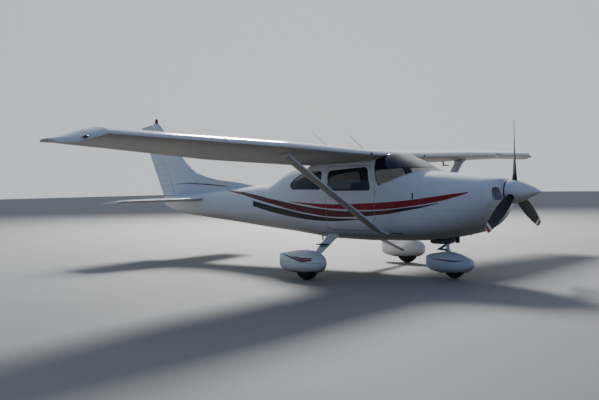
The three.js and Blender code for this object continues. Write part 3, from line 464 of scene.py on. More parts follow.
def tube(path: Sequence[Sequence[float]], radius: float | Sequence[float], steps: int = 16,
         flat: float = 1.0) -> Skin:
    """A round or oval bar along a path: each point carries a circle square to the path there.

    Args:
        path: points in metres.
        radius: one radius, or one for each point.
        steps: points around.
        flat: height of the section as a share of its width.

    Returns:
        Points and faces of the closed bar.
    """
    line = np.array(path, float)
    run = np.gradient(line, axis=0)
    run /= np.linalg.norm(run, axis=1, keepdims=True)
    helper = np.where(np.abs(run[:, 2:3]) > 0.9, [[1.0, 0, 0]], [[0, 0, 1.0]])
    across = np.cross(run, helper)
    across /= np.linalg.norm(across, axis=1, keepdims=True)
    up = np.cross(across, run)
    size = np.broadcast_to(np.asarray(radius, float), len(line))[:, None, None]
    turn = circle(steps)[None, :, None]
    rings = line[:, None] + size * (np.cos(turn) * across[:, None] + flat * np.sin(turn) * up[:, None])
    return lofted(rings)


def outline_curve(corners: Outline, radius: float, steps: int = 8) -> Array:
    """A closed outline with each corner rounded by a quadratic curve.

    Args:
        corners: the outline's corners in order.
        radius: how far from a corner its curve starts.
        steps: points on each curve.

    Returns:
        An n by 2 array.
    """
    points = np.array(corners, float)
    before, after = np.roll(points, 1, axis=0), np.roll(points, -1, axis=0)
    reach = [np.minimum(radius, np.linalg.norm(other - points, axis=1) / 2.2) for other in (before, after)]
    size = np.minimum(*reach)[:, None]
    start = points + (before - points) / np.linalg.norm(before - points, axis=1)[:, None] * size
    end = points + (after - points) / np.linalg.norm(after - points, axis=1)[:, None] * size
    t = np.linspace(0, 1, steps)[None, :, None]
    curve = (1 - t) ** 2 * start[:, None] + 2 * t * (1 - t) * points[:, None] + t ** 2 * end[:, None]
    return curve.reshape(-1, 2)


def grown(corners: Outline, distance: float) -> list[tuple[float, float]]:
    """The outline moved outwards by a distance along the mean normal at each corner.

    Args:
        corners: its corners in order.
        distance: how far, negative inwards.

    Returns:
        The moved corners.
    """
    points = np.array(corners, float)
    before, after = np.roll(points, 1, axis=0), np.roll(points, -1, axis=0)
    area = np.sum(points[:, 0] * after[:, 1] - after[:, 0] * points[:, 1])
    first = (points - before) / np.linalg.norm(points - before, axis=1)[:, None]
    second = (after - points) / np.linalg.norm(after - points, axis=1)[:, None]
    normal = np.stack([first[:, 1] + second[:, 1], -first[:, 0] - second[:, 0]], axis=1) * np.sign(area)
    moved = points + normal * 2 * distance / np.sum(normal ** 2, axis=1)[:, None]
    return [tuple(p) for p in moved]


def side_tool(outline: Array, from_y: float, to_y: float) -> Piece:
    """A cutting prism: an outline in x and z carried from one y to another."""
    return raw_object("cutting_tool", *prism(outline, 1, (from_y, to_y)))


def raw_object(name: str, points: Array, faces: Iterable[Sequence[int]]) -> Piece:
    """A bare mesh object, with no finish and no body.

    Args:
        name: the piece's name.
        points: an n by 3 array in metres.
        faces: index tuples.

    Returns:
        The new object.
    """
    mesh = bpy.data.meshes.new(name)
    mesh.from_pydata(np.asarray(points, float).tolist(), [], [tuple(map(int, face)) for face in faces])
    made = bpy.data.objects.new(name, mesh)
    bpy.context.collection.objects.link(made)
    return made


def cut(made: Piece, tools: Sequence[Piece], keep: bool = False) -> None:
    """Cut tools out of an object, or keep only what lies in them, and remove the tools.

    Args:
        made: the object to cut.
        tools: closed meshes.
        keep: intersect in place of subtract.
    """
    for tool in tools:
        step = made.modifiers.new("cut", "BOOLEAN")
        step.operation = "INTERSECT" if keep else "DIFFERENCE"
        step.object = tool
        step.solver = "EXACT"
        apply_modifiers(made)
        bpy.data.objects.remove(tool)


def apply_modifiers(made: Piece) -> None:
    """Turn an object's modifiers into mesh.

    Args:
        made: the object.
    """
    graph = bpy.context.evaluated_depsgraph_get()
    done = bpy.data.meshes.new_from_object(made.evaluated_get(graph), depsgraph=graph)
    made.modifiers.clear()
    old = made.data
    made.data = done
    bpy.data.meshes.remove(old)


# The body's form


@dataclass(frozen=True)
class BodyForm:
    """The body's superellipse sections, eased between a few stations.

    Columns, in millimetres: station x, half width, top, bottom, height of the widest point, and squareness of
    the upper and lower half.
    """

    stations: Table = (
        (3918, 200, 1442, 1085, 1265, 2.2, 2.2),
        (3895, 290, 1462, 1000, 1262, 2.4, 2.4),
        (3840, 370, 1480, 905, 1250, 2.6, 2.6),
        (3740, 430, 1498, 800, 1220, 2.7, 2.6),
        (3600, 462, 1515, 715, 1190, 2.8, 2.6),
        (3450, 482, 1530, 672, 1160, 2.9, 2.7),
        (3176, 505, 1556, 612, 1130, 3.0, 3.0),
        (2820, 535, 1586, 560, 1100, 3.2, 3.4),
        (2640, 546, 1686, 548, 1105, 3.2, 3.6),
        (2400, 554, 1800, 540, 1112, 3.4, 3.8),
        (2150, 558, 1890, 535, 1120, 3.6, 4.0),
        (1800, 560, 1890, 520, 1120, 3.8, 4.0),
        (1100, 560, 1870, 528, 1120, 3.8, 4.0),
        (524, 522, 1734, 574, 1120, 3.4, 3.4),
        (300, 492, 1712, 592, 1115, 3.1, 3.2),
        (30, 455, 1655, 613, 1110, 2.8, 3.0),
        (-200, 425, 1549, 626, 1100, 2.6, 2.8),
        (-430, 392, 1442, 640, 1085, 2.4, 2.6),
        (-1018, 318, 1395, 690, 1075, 2.2, 2.4),
        (-1600, 250, 1350, 740, 1070, 2.1, 2.3),
        (-2500, 165, 1278, 815, 1060, 2.1, 2.2),
        (-3200, 95, 1215, 885, 1060, 2.1, 2.1),
        (-3650, 42, 1190, 1030, 1110, 2.1, 2.1),
    )
    crease_mm: tuple[float, ...] = (2820, 524, -430)  # stations where the top line bends sharply

    def values(self, x: Array) -> Array:
        """Section values at stations x, by cubic steps whose slopes never overshoot.

        Args:
            x: stations in metres.

        Returns:
            Six columns in the order of the table without its first, lengths in metres.
        """
        table = np.array(self.stations)[::-1]
        xs = table[:, 0] * MM
        ys = table[:, 1:].copy()
        ys[:, :4] *= MM
        gap = np.diff(xs)[:, None]
        rate = np.diff(ys, axis=0) / gap
        slope = np.zeros_like(ys)
        same = rate[:-1] * rate[1:] > 0
        mean = 2 * rate[:-1] * rate[1:] / np.where(same, rate[:-1] + rate[1:], 1)
        slope[1:-1] = np.where(same, mean, 0)
        slope[0], slope[-1] = rate[0], rate[-1]
        x = np.clip(np.asarray(x, float), xs[0], xs[-1])
        k = np.clip(np.searchsorted(xs, x, side="right") - 1, 0, len(xs) - 2)
        creases = np.array(self.crease_mm) * MM
        left, right = slope[k].copy(), slope[k + 1].copy()
        for ends, slopes in ((k, left), (k + 1, right)):
            hit = np.isin(np.round(xs[ends], 4), creases)
            slopes[hit, 1] = rate[k][hit, 1]
        h = gap[k]
        t = ((x - xs[k]) / gap[k][:, 0])[:, None]
        return ((1 + 2 * t) * (1 - t) ** 2 * ys[k] + t * (1 - t) ** 2 * h * left
                + t ** 2 * (3 - 2 * t) * ys[k + 1] + t ** 2 * (t - 1) * h * right)

    def rings(self, x: Array, around: int = 96, depth: float = 0.0) -> Array:
        """Rings of the skin: y = w·cos|cos|^(2/n-1), z = middle + h·sin|sin|^(2/n-1).

        Args:
            x: stations in metres.
            around: points in each ring.
            depth: how far inside the skin.

        Returns:
            An array of stations by around by 3.
        """
        x = np.asarray(x, float)
        half, top, bottom, middle, upper, lower = self.values(x).T[..., None]
        turn = circle(around)[None]
        a, r = np.cos(turn), np.sin(turn)
        power = 2 / np.where(r > 0, upper, lower)
        tall = np.where(r > 0, top - middle, middle - bottom) - depth
        y = (half - depth) * signed(a, power)
        z = middle + tall * signed(r, power)
        return np.stack([x[:, None] + 0 * y, y, z], axis=-1)

    def side_y(self, x: Array, z: Array) -> Array:
        """Half width of the skin at a station and a height: w·(1-|(z-m)/h|^n)^(1/n).

        Args:
            x: stations in metres.
            z: heights in metres.

        Returns:
            The half width.
        """
        shape = np.broadcast(x, z).shape
        x, z = np.broadcast_to(x, shape).ravel(), np.broadcast_to(z, shape).ravel()
        half, top, bottom, middle, upper, lower = self.values(x).T
        tall = np.where(z > middle, top - middle, middle - bottom)
        power = np.where(z > middle, upper, lower)
        share = np.clip(np.abs((z - middle) / tall), 0, 1)
        return (half * (1 - share ** power) ** (1 / power)).reshape(shape)

    def form(self, from_mm: float, to_mm: float, depth: float = 0.0, step: float = 0.03,
             around: int = 96) -> Skin:
        """The closed form between two stations, with rings on the sharp bends of the top line.

        Args:
            from_mm: one end's station.
            to_mm: the other end's station.
            depth: how far inside the skin.
            step: distance between rings.
            around: points in each ring.

        Returns:
            Points and faces.
        """
        low, high = sorted((from_mm * MM, to_mm * MM))
        between = [c * MM for c in self.crease_mm if low < c * MM < high]
        x = np.unique(np.concatenate([np.linspace(low, high, max(3, int((high - low) / step))), between]))
        return lofted(self.rings(x, around, depth))


BODY = BodyForm()
CABIN_WALL = 0.030
COWL_WALL = 0.008
GLASS = 0.005


# The wing's form


@dataclass(frozen=True)
class WingForm:
    """A 12% section with 2% camber on a wing that tapers outboard, with dihedral and washout."""

    lead_x: float = 2.150
    base_z: float = 1.806
    root_y: float = 0.560
    taper_y: float = 2.550
    end_y: float = 5.200
    root_chord: float = 1.626
    end_chord: float = 1.120
    lead_share: float = 0.25
    dihedral: float = math.radians(1.82)
    incidence: float = 4.31
    washout: float = 1.61

    def chord(self, span: Array) -> tuple[Array, Array, Array]:
        """Chord, share of the taper and leading edge x at a span.

        Args:
            span: distance from the middle plane.

        Returns:
            The three, in metres.
        """
        taper = np.clip((span - self.taper_y) / (self.end_y - self.taper_y), 0, 1)
        chord = self.root_chord - (self.root_chord - self.end_chord) * taper
        return chord, taper, self.lead_x - self.lead_share * (self.root_chord - chord)

    @staticmethod
    def camber(f: Array) -> Array:
        """Height of the mean line at share f of the chord: two parabolas that meet at 40%.

        Args:
            f: share of the chord.

        Returns:
            The height as a share of the chord.
        """
        fore = (0.8 * f - f ** 2) / 0.16
        aft = (0.2 + 0.8 * f - f ** 2) / 0.36
        return 0.02 * np.where(f < 0.4, fore, aft)

    @staticmethod
    def half_thick(f: Array) -> Array:
        """Half the thickness at share f: the four-digit thickness curve at 12%."""
        f = np.asarray(f, float)
        return 0.6 * (0.2969 * np.sqrt(f) - 0.126 * f - 0.3516 * f ** 2 + 0.2843 * f ** 3 - 0.1015 * f ** 4)

    def point(self, y: Array, f: Array, side: Array) -> Array:
        """Point of the skin at y and share f; side is 1 above, -1 below, 0 midway.

        Args:
            y: distances to the left in metres.
            f: share of the chord.
            side: 1 above, -1 below, 0 midway.

        Returns:
            Points, with x, y and z along the last axis.
        """
        y, f, side = np.broadcast_arrays(np.asarray(y, float), f, side)
        span = np.abs(y)
        chord, taper, lead = self.chord(span)
        pitch = np.tan(np.radians(self.incidence - self.washout * taper))
        straight = self.base_z + span * math.sin(self.dihedral)
        middle = straight + self.camber(f) * chord - pitch * (f - 0.25) * chord
        return np.stack([lead - f * chord, y, middle + side * self.half_thick(f) * chord], axis=-1)

    def nose_radius(self, span: float, f: float) -> float:
        """Radius of a hinged surface's rounded nose."""
        return float(self.half_thick(f) * self.chord(np.array(span))[0])

    def section(self, y: float, back: float = 1.0, steps: int = 26) -> Array:
        """One ring of the skin from the share back, over the nose and below to the same share.

        Args:
            y: its span.
            back: share of the chord where it ends.
            steps: points on each half.

        Returns:
            One ring of points.
        """
        whole = back == 1
        turn = np.linspace(0, np.pi if whole else np.pi / 2, steps)
        f = back * (1 - np.cos(turn)) / (2 if whole else 1)
        upper = self.point(y, f[::-1], 1)
        lower = self.point(y, f[1:], -1)
        return np.concatenate([upper, lower])

    def section_to_x(self, y: float, x: float, steps: int = 26) -> Array:
        """One ring of the skin ahead of station x."""
        chord, _, lead = self.chord(np.array(abs(y)))
        return self.section(y, float((lead - x) / chord), steps)


WING = WingForm()
FLAP_Y = (0.608, 2.544)
AILERON_Y = (2.562, 5.120)
FLAP_HINGE = 0.72
AILERON_HINGE = 0.77
RUN_GAP = 0.008


def hinged_section(hinge: Array, radius: float, trail: Array, up: Array, steps: int = 9, thick: float = 0.005,
                   side_points: int = 7) -> Array:
    """The section of a hinged surface: a half circle about the hinge and straight sides to a thin edge.

    Args:
        hinge: centre of the rounded nose.
        radius: its radius.
        trail: the trailing edge's middle.
        up: the direction of the thickness.
        steps: points on the half circle.
        thick: thickness of the trailing edge.
        side_points: points along each side.

    Returns:
        One ring of points.
    """
    back = (trail - hinge) / np.linalg.norm(trail - hinge)
    turn = np.linspace(np.pi / 2, -np.pi / 2, steps)[:, None]
    nose = hinge - back * radius * np.cos(turn) + up * radius * np.sin(turn)
    share = np.linspace(0, 1, side_points)[:-1, None]
    above = (trail + up * thick / 2) * (1 - share) + nose[0] * share
    below = (nose[-1] * (1 - share) + (trail - up * thick / 2) * share)[1:]
    return np.concatenate([above, nose, below, [trail - up * thick / 2]])


def ribbed(rings: Array, pitch: float, depth: float, fade: Array) -> Array:
    """Pressed stiffening beads across a thin skin: each ring is raised by depth·(1+cos)/2 of its span.

    Args:
        rings: rings by points by 3, one ring at each span station.
        pitch: distance between beads.
        depth: height of a bead.
        fade: 0 to 1 for each point of a ring, with its sign the side that it lies on.

    Returns:
        The raised rings.
    """
    span = np.linalg.norm(rings[:, 0] - rings[0, 0], axis=1)
    wave = (0.5 + 0.5 * np.cos(2 * np.pi * span / pitch)) ** 3
    raised = rings.copy()
    raised[..., 2] += depth * wave[:, None] * fade[None]
    return raised


# Openings in the body, as corners in x and z, in metres
WINDSCREEN = ((2.119, 1.377), (2.327, 1.454), (2.549, 1.535), (2.700, 1.580), (2.812, 1.604), (2.812, 2.0),
              (2.160, 2.0), (2.011, 1.756), (2.028, 1.646), (2.076, 1.465))
DOOR = ((1.113, 1.700), (1.113, 0.690), (2.050, 0.690), (2.064, 1.377), (2.020, 1.480), (1.965, 1.700))
DOOR_WINDOW = ((1.150, 1.625), (1.150, 1.312), (1.985, 1.312), (1.905, 1.672))
SIDE_WINDOW = ((1.012, 1.632), (0.832, 1.623), (0.523, 1.583), (0.384, 1.521), (0.262, 1.415), (0.330, 1.330),
               (1.012, 1.330))
REAR_WINDOW = ((0.505, 1.9), (0.505, 1.680), (0.300, 1.635), (0.0, 1.565), (-0.335, 1.430), (-0.375, 1.470),
               (-0.375, 1.9))
BAGGAGE = ((0.300, 1.150), (0.300, 0.780), (0.760, 0.780), (0.760, 1.150))
DOOR_CORNER = 0.09
WINDOW_CORNER = 0.07
BAGGAGE_CORNER = 0.06
WINDSCREEN_CORNER = 0.03
REAR_CORNER = 0.04
PANE_DEPTH = 0.003
FOLD_DEG = 32  # pressed sheet keeps a sharp edge over this angle
SHEET_EDGE = 0.0015
DOOR_EDGE = 0.0025
DOOR_GAP = 0.006
SHADE_Z = 1.656  # lower edge of the windscreen's tinted band
SEAT_GAP = 0.0004


def roof_tool() -> Piece:
    """The space over the wing's lower skin between the two wings, as a cutting prism.

    Returns:
        The prism.
    """
    f = (1 - np.cos(np.linspace(0, np.pi, 24))) / 2
    under = WING.point(WING.root_y, f, -1)[:, [0, 2]] - [0, SEAT_GAP]
    above = np.array([[under[-1, 0] - SEAT_GAP, 2.3], [under[0, 0] + SEAT_GAP, 2.3]])
    return side_tool(np.concatenate([under, above]), -0.9, 0.9)


def opening(corners: Outline, radius: float, side: Side | None = None,
            growth: float = 0.0) -> Piece:
    """A cutting prism through one side of the body, or through both.

    Args:
        corners: its corners in order.
        radius: size of its rounded corners.
        side: the side, or None for both.
        growth: how far it is moved outwards.

    Returns:
        The prism.
    """
    outline = outline_curve(grown(corners, growth) if growth else corners, radius)
    if side is None:
        return side_tool(outline, -0.9, 0.9)
    return side_tool(outline, 0.15 * side.value, 0.9 * side.value)


@dataclass
class Fuselage:
    """The cabin shell, tailcone and cowls as smooth skins over the frame's forms."""

    bay_wall: float = COWL_WALL
    floor_z: float = 0.590

    def build(self) -> None:
        """Build every skin."""
        self.cabin()
        self.tailcone()
        self.cowls()
        self.nose_bowl()
        self.inlet_ducts()

    def cabin(self) -> None:
        """The hollow cabin with its windows and doorways cut out."""
        shell = mesh_object("cabin_shell", *BODY.form(2820, -430), "airframe", [WHITE, LINER, CARPET])
        inner = self.room()
        cut(shell, [inner, roof_tool(), opening(WINDSCREEN, WINDSCREEN_CORNER),
                    opening(REAR_WINDOW, REAR_CORNER)])
        for side in Side:
            cut(shell, [opening(DOOR, DOOR_CORNER, side), opening(SIDE_WINDOW, WINDOW_CORNER, side)])
        cut(shell, [opening(BAGGAGE, BAGGAGE_CORNER, Side.LEFT)])
        self.line_inside(shell)
        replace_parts(shell, "cabin")
        soften(shell, FOLD_DEG)
        bevel_edges(shell, SHEET_EDGE)
        for side in Side:
            knuckles(f"door_hinge_fixed_{side.word}", DOOR_HINGE, side, False, "airframe")
        knuckles("baggage_hinge_fixed", BAGGAGE_HINGE, Side.LEFT, False, "airframe")

    def room(self) -> Piece:
        """The cabin's hollow, flat at the floor.

        Returns:
            The hollow, as a cutting tool.
        """
        points, faces = BODY.form(2790, -431, CABIN_WALL)
        points[:, 2] = np.maximum(points[:, 2], self.floor_z)
        return raw_object("room", points, faces)

    def line_inside(self, shell: Piece) -> None:
        """Give faces that look inwards the liner, and those of the floor the carpet."""
        mesh = shell.data
        for face in mesh.polygons:
            centre, normal = face.center, face.normal
            half = float(BODY.side_y(np.array(centre.x), np.array(centre.z)))
            if abs(centre.y) < half - 0.02 and abs(centre.z - self.floor_z) < 0.005 and normal.z > 0.9:
                face.material_index = 2
            elif Vector((0, centre.y, centre.z - 1.1)).dot(normal) < -0.02 and abs(normal.x) < 0.9:
                face.material_index = 1

    @staticmethod
    def tailcone() -> None:
        """The tailcone, with the tailplane's seat left to the tailplane itself."""
        skin = mesh_object("tailcone_skin", *BODY.form(-430.4, -3650, step=0.05), "airframe", [WHITE])
        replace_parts(skin, "tailcone")

    def cowls(self) -> None:
        """Upper and lower cowl, parted at their seam, with the exits underneath."""
        seam = ((2.70, 0.985), (3.026, 1.004), (3.741, 1.042), (3.80, 1.042), (3.80, 0.40), (2.70, 0.40))
        for name, node, keep in (("cowl_upper_skin", "cowl_upper", False),
                                 ("cowl_lower_skin", "cowl_lower", True)):
            skin = mesh_object(name, *BODY.form(3739.2, 2821.2), "airframe", [WHITE, DARK])
            inner = raw_object("bay", *BODY.form(3742, 2819, self.bay_wall))
            tool = side_tool(np.array(grown(seam, -0.0008 if keep else 0.0008)), -0.8, 0.8)
            cut(skin, [inner])
            cut(skin, [tool], keep=keep)
            if keep:
                exits = np.array([[2.822, 0.5], [3.0, 0.5], [3.0, 0.64], [2.822, 0.64]])
                leg = np.array([[2.89, 0.48], [3.04, 0.48], [3.04, 0.70], [2.89, 0.70]])
                pipe = raw_object("pipe_hole", *tube([(3.2, -0.1, 0.5), (3.2, -0.1, 0.9)], 0.04, 24))
                cut(skin, [side_tool(exits, -0.23, 0.23), side_tool(leg, -0.06, 0.06), pipe])
            soften(skin, FOLD_DEG)
            bevel_edges(skin, SHEET_EDGE)
            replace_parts(skin, node)

    def nose_bowl(self) -> None:
        """The nose bowl with two rounded air inlets and the shaft's hole."""
        skin = mesh_object("nose_bowl_skin", *BODY.form(3918, 3740.8, step=0.008), "airframe", [WHITE, DARK])
        inner = raw_object("bowl_inside", *BODY.form(3910, 3739, self.bay_wall, step=0.01))
        tools = [inner, raw_object("shaft_hole", *tube([(3.6, 0, 1.278), (4.0, 0, 1.278)], 0.062, 40))]
        for side in Side:
            rows = ((0.162, 1.20), (0.162, 1.168), (0.345, 1.168), (0.345, 1.345), (0.232, 1.345))
            shape = outline_curve([(side.value * y, z) for y, z in rows], 0.05, 10)
            tools.append(raw_object("inlet", *prism(shape, 0, (3.76, 3.95))))
        cut(skin, tools)
        soften(skin, 35)
        bevel_edges(skin, 0.004, 3)
        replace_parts(skin, "nose_bowl")

    @staticmethod
    def inlet_ducts() -> None:
        """Painted ducts behind the inlets: each floor slopes up and back, x = 3.752 + (1.365 - z)·0.42."""
        for side in Side:
            rows = np.array([(0.15, 1.15), (0.37, 1.15), (0.37, 1.365), (0.15, 1.365)])
            rings = np.stack([np.column_stack([3.752 + (1.365 - rows[:, 1]) * 0.42 + x,
                                               side.value * rows[:, 0], rows[:, 1]]) for x in (-0.005, 0)])
            wall = np.stack([[(3.745, side.value * y, 1.15), (3.903, side.value * y, 1.15),
                              (3.903, side.value * y, 1.365), (3.745, side.value * y, 1.365)]
                              for y in (0.134, 0.140)])
            mesh_object(f"inlet_duct_{side.word}", *together(lofted(rings), lofted(wall)), "airframe",
                        [STRUT_WHITE])
        collar = turned([(0.172, -0.025), (0.170, 0.018), (0.150, 0.018), (0.150, -0.025), (0.172, -0.025)],
                        (3.918, 0, 1.278), "x", 96)
        mesh_object("bowl_collar", *collar, "airframe", [WHITE])


def bevel_edges(made: Piece, width: float, segments: int = 2) -> None:
    """Round an object's sharp edges a little, as pressed and sanded edges are.

    Args:
        made: the object.
        width: width of the rounding.
        segments: steps of the rounding.
    """
    step = made.modifiers.new("edges", "BEVEL")
    step.width = width
    step.segments = segments
    step.limit_method = "ANGLE"
    step.angle_limit = math.radians(40)
    step.use_clamp_overlap = True
    step.harden_normals = False


@dataclass(frozen=True)
class Hinge:
    """An outside hinge: its pin line, the skin's y there, the door's edge and its knuckles' feet."""

    x: float
    y: float
    skin: float
    edge: float
    feet: tuple[float, ...]
    radius: float = 0.008
    tall: float = 0.036
    reach: float = 0.036


DOOR_HINGE = Hinge(2.062, 0.572, 0.560, 2.044, (0.840, 1.240))
BAGGAGE_HINGE = Hinge(0.768, 0.550, 0.538, 0.742, (0.850, 1.030))


def knuckles(name: str, hinge: Hinge, side: Side, of_door: bool, body: str) -> None:
    """Round knuckles with a tapered strap onto the door, or onto the frame just above.

    Args:
        name: the piece's name.
        hinge: its sizes.
        side: the side it is on.
        of_door: whether it is the door's half.
        body: the body it rides on.
    """
    parts = []
    for foot in hinge.feet:
        low = foot + (0 if of_door else hinge.tall + SEAT_GAP)
        y = side.value * hinge.y
        parts.append(tube([(hinge.x, y, low), (hinge.x, y, low + hinge.tall)], hinge.radius, 20))
        ends = (hinge.x, hinge.edge - hinge.reach) if of_door else (hinge.x, hinge.x + hinge.reach)
        skin = side.value * (hinge.skin + 0.004)
        middle = low + hinge.tall / 2
        strap = np.linspace([ends[0], y, middle], [ends[1], skin - side.value * 0.008, middle], 6)
        parts.append(tube(strap, np.linspace(0.0165, 0.011, 6), 12, 0.3))
    mesh_object(name, *together(*parts), body, [WHITE])


@dataclass
class Doors:
    """The cabin doors and the baggage door, with their window openings, handles and hinges."""

    def build(self) -> None:
        """Build all three doors."""
        for side in Side:
            self.cabin_door(side)
            self.handle(side)
        self.baggage_door()

    @staticmethod
    def leaf(name: str, from_mm: float, to_mm: float, outline: Outline, corner: float,
             side: Side, body: str) -> Piece:
        """A leaf as thick as the wall, a gap inside its outline.

        Args:
            name: the piece's name.
            from_mm: one end's station.
            to_mm: the other end's station.
            outline: the opening's corners in x and z.
            corner: size of its rounded corners.
            side: the side it is on.
            body: the body it rides on.

        Returns:
            The leaf.
        """
        leaf = mesh_object(name, *BODY.form(from_mm, to_mm, step=0.02), body, [WHITE, LINER])
        cut(leaf, [raw_object("inside", *BODY.form(from_mm + 5, to_mm - 5, CABIN_WALL, step=0.02))])
        cut(leaf, [opening(outline, corner, side, -DOOR_GAP)], keep=True)
        return leaf

    def cabin_door(self, side: Side) -> None:
        """One door with its window opening.

        Args:
            side: the side it is on.
        """
        body = f"{side.word}_door"
        leaf = self.leaf(f"door_skin_{side.word}", 2080, 1090, DOOR, DOOR_CORNER, side, body)
        cut(leaf, [opening(DOOR_WINDOW, WINDOW_CORNER, side)])
        for face in leaf.data.polygons:
            face.material_index = 1 if face.normal.y * side.value < -0.5 else 0
        soften(leaf, FOLD_DEG)
        bevel_edges(leaf, DOOR_EDGE)
        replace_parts(leaf, f"door_{side.word}")
        knuckles(f"door_hinge_{side.word}", DOOR_HINGE, side, True, body)

    @staticmethod
    def handle(side: Side) -> None:
        """A flush paddle handle with its lock below.

        Args:
            side: the side it is on.
        """
        x, z = 1.235, 1.215
        y = side.value * (float(BODY.side_y(np.array(x), np.array(z))) + 0.004)
        path = np.linspace((x - 0.07, y, z), (x + 0.07, y, z + 0.004), 12)
        size = 0.011 * np.sqrt(np.clip(1 - np.linspace(-1, 1, 12) ** 4, 0.15, 1))
        lock = tube([(x - 0.03, y - side.value * 0.006, z - 0.05), (x - 0.03, y, z - 0.05)], 0.011, 24)
        mesh_object(f"door_handle_{side.word}", *together(tube(path, size, 16, 0.55), lock),
                    f"{side.word}_door", [BARE])

    def baggage_door(self) -> None:
        """The luggage door behind the rear seat, on the left."""
        leaf = self.leaf("baggage_door_skin", 790, 270, BAGGAGE, BAGGAGE_CORNER, Side.LEFT, "luggage_door")
        soften(leaf, FOLD_DEG)
        bevel_edges(leaf, DOOR_EDGE)
        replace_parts(leaf, "baggage_door")
        knuckles("baggage_hinge", BAGGAGE_HINGE, Side.LEFT, True, "luggage_door")


@dataclass
class Glazing:
    """Every window as a thin curved pane just inside the skin, with dark sealing lines around the side
    windows, the door windows and the doorways.
    """

    def build(self) -> None:
        """Build the panes and their seals."""
        self.pane("windscreen_pane", "windscreen", 2816, 1990, WINDSCREEN, WINDSCREEN_CORNER, None,
                  "airframe")
        self.pane("rear_pane", "rear_window", 520, -390, REAR_WINDOW, REAR_CORNER, None, "airframe")
        for side in Side:
            word = side.word
            self.pane(f"side_pane_{word}", f"side_window_{word}", 1030, 240, SIDE_WINDOW, WINDOW_CORNER, side,
                      "airframe")
            self.pane(f"door_pane_{word}", f"door_window_{word}", 2010, 1130, DOOR_WINDOW, WINDOW_CORNER,
                      side, f"{word}_door")
            self.seal(f"side_seal_{word}", SIDE_WINDOW, side, "airframe")
            self.seal(f"door_seal_{word}", DOOR_WINDOW, side, f"{word}_door")
            self.seal(f"door_gasket_{word}", grown(DOOR, -DOOR_GAP / 2), side, "airframe", DOOR_CORNER,
                      0.0026, 0.004)
        self.windscreen_strip()

    @staticmethod
    def pane(name: str, node: str, from_mm: float, to_mm: float, outline: Outline,
             corner: float, side: Side | None, body: str) -> None:
        """Cut one pane out of a thin shell that follows the body.

        Args:
            name: the piece's name.
            node: the node it replaces.
            from_mm: one end's station.
            to_mm: the other end's station.
            outline: the opening's corners in x and z.
            corner: size of its rounded corners.
            side: the side, or None across both.
            body: the body it rides on.
        """
        points, faces = BODY.form(from_mm, to_mm, PANE_DEPTH, step=0.02, around=128)
        pane = mesh_object(name, points, faces, body, [TINTED] if side else [ACRYLIC, SHADE])
        inside = BODY.form(from_mm + 4, to_mm - 4, PANE_DEPTH + GLASS, step=0.02, around=128)
        cut(pane, [raw_object("inside", *inside)])
        cut(pane, [opening(outline, corner, side, -SEAT_GAP)], keep=True)
        cut(pane, [roof_tool()])
        if node == "windscreen":
            sheet = bmesh.new()
            sheet.from_mesh(pane.data)
            every = sheet.verts[:] + sheet.edges[:] + sheet.faces[:]
            bmesh.ops.bisect_plane(sheet, geom=every, plane_co=(0, 0, SHADE_Z), plane_no=(0, 0, 1))
            for face in sheet.faces:
                face.material_index = int(face.calc_center_median().z > SHADE_Z)
            sheet.to_mesh(pane.data)
            sheet.free()
        soften(pane, 40)
        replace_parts(pane, node)

    @staticmethod
    def seal(name: str, outline: Outline, side: Side, body: str, corner: float = WINDOW_CORNER,
             radius: float = 0.0032, depth: float = -0.0002) -> None:
        """A rubber bead around an opening: a thin bar along its rounded outline, a depth under the skin.

        Args:
            name: the piece's name.
            outline: the opening's corners in x and z.
            side: the side it is on.
            body: the body it rides on.
            corner: size of its rounded corners.
            radius: its radius.
            depth: how far under the skin.
        """
        curve = outline_curve(outline, corner, 10)
        y = side.value * (BODY.side_y(curve[:, 0], curve[:, 1]) - depth)
        path = np.column_stack([curve[:, 0], y, curve[:, 1]])
        closed = np.concatenate([path, path[:2]])
        mesh_object(name, *tube(closed, radius, 8), body, [BLACK_PLASTIC])

    @staticmethod
    def windscreen_strip() -> None:
        """The white retaining strip along the windscreen's lower and rear edge on each side."""
        for side in Side:
            corners = np.array([(2.020, 1.735), (2.028, 1.646), (2.076, 1.465), (2.119, 1.385),
                                (2.327, 1.454), (2.549, 1.535), (2.700, 1.580), (2.790, 1.600)])
            share = np.linspace(0, len(corners) - 1, 90)
            line = np.column_stack([np.interp(share, np.arange(len(corners)), corners[:, k]) for k in (0, 1)])
            y = side.value * (BODY.side_y(line[:, 0], line[:, 1]) + 0.0006)
            bar = tube(np.column_stack([line[:, 0], y, line[:, 1]]), 0.0075, 10, 0.5)
            mesh_object(f"windscreen_strip_{side.word}", *bar, "airframe", [WHITE])


def smooth_table(table: Sequence[Sequence[float]], rows: int) -> Array:
    """Rows of a table eased by a Catmull-Rom curve through them.

    Args:
        table: the given rows.
        rows: how many rows to make.

    Returns:
        An array of rows by the table's columns.
    """
    given = np.array(table, float)
    padded = np.concatenate([2 * given[:1] - given[1:2], given, 2 * given[-1:] - given[-2:-1]])
    at = np.linspace(0, len(given) - 1, rows)
    k = np.minimum(at.astype(int), len(given) - 2)
    t = (at - k)[:, None]
    a, b, c, d = (padded[k + i] for i in range(4))
    return 0.5 * (2 * b + (c - a) * t + (2 * a - 5 * b + 4 * c - d) * t ** 2
                  + (3 * b - a - 3 * c + d) * t ** 3)


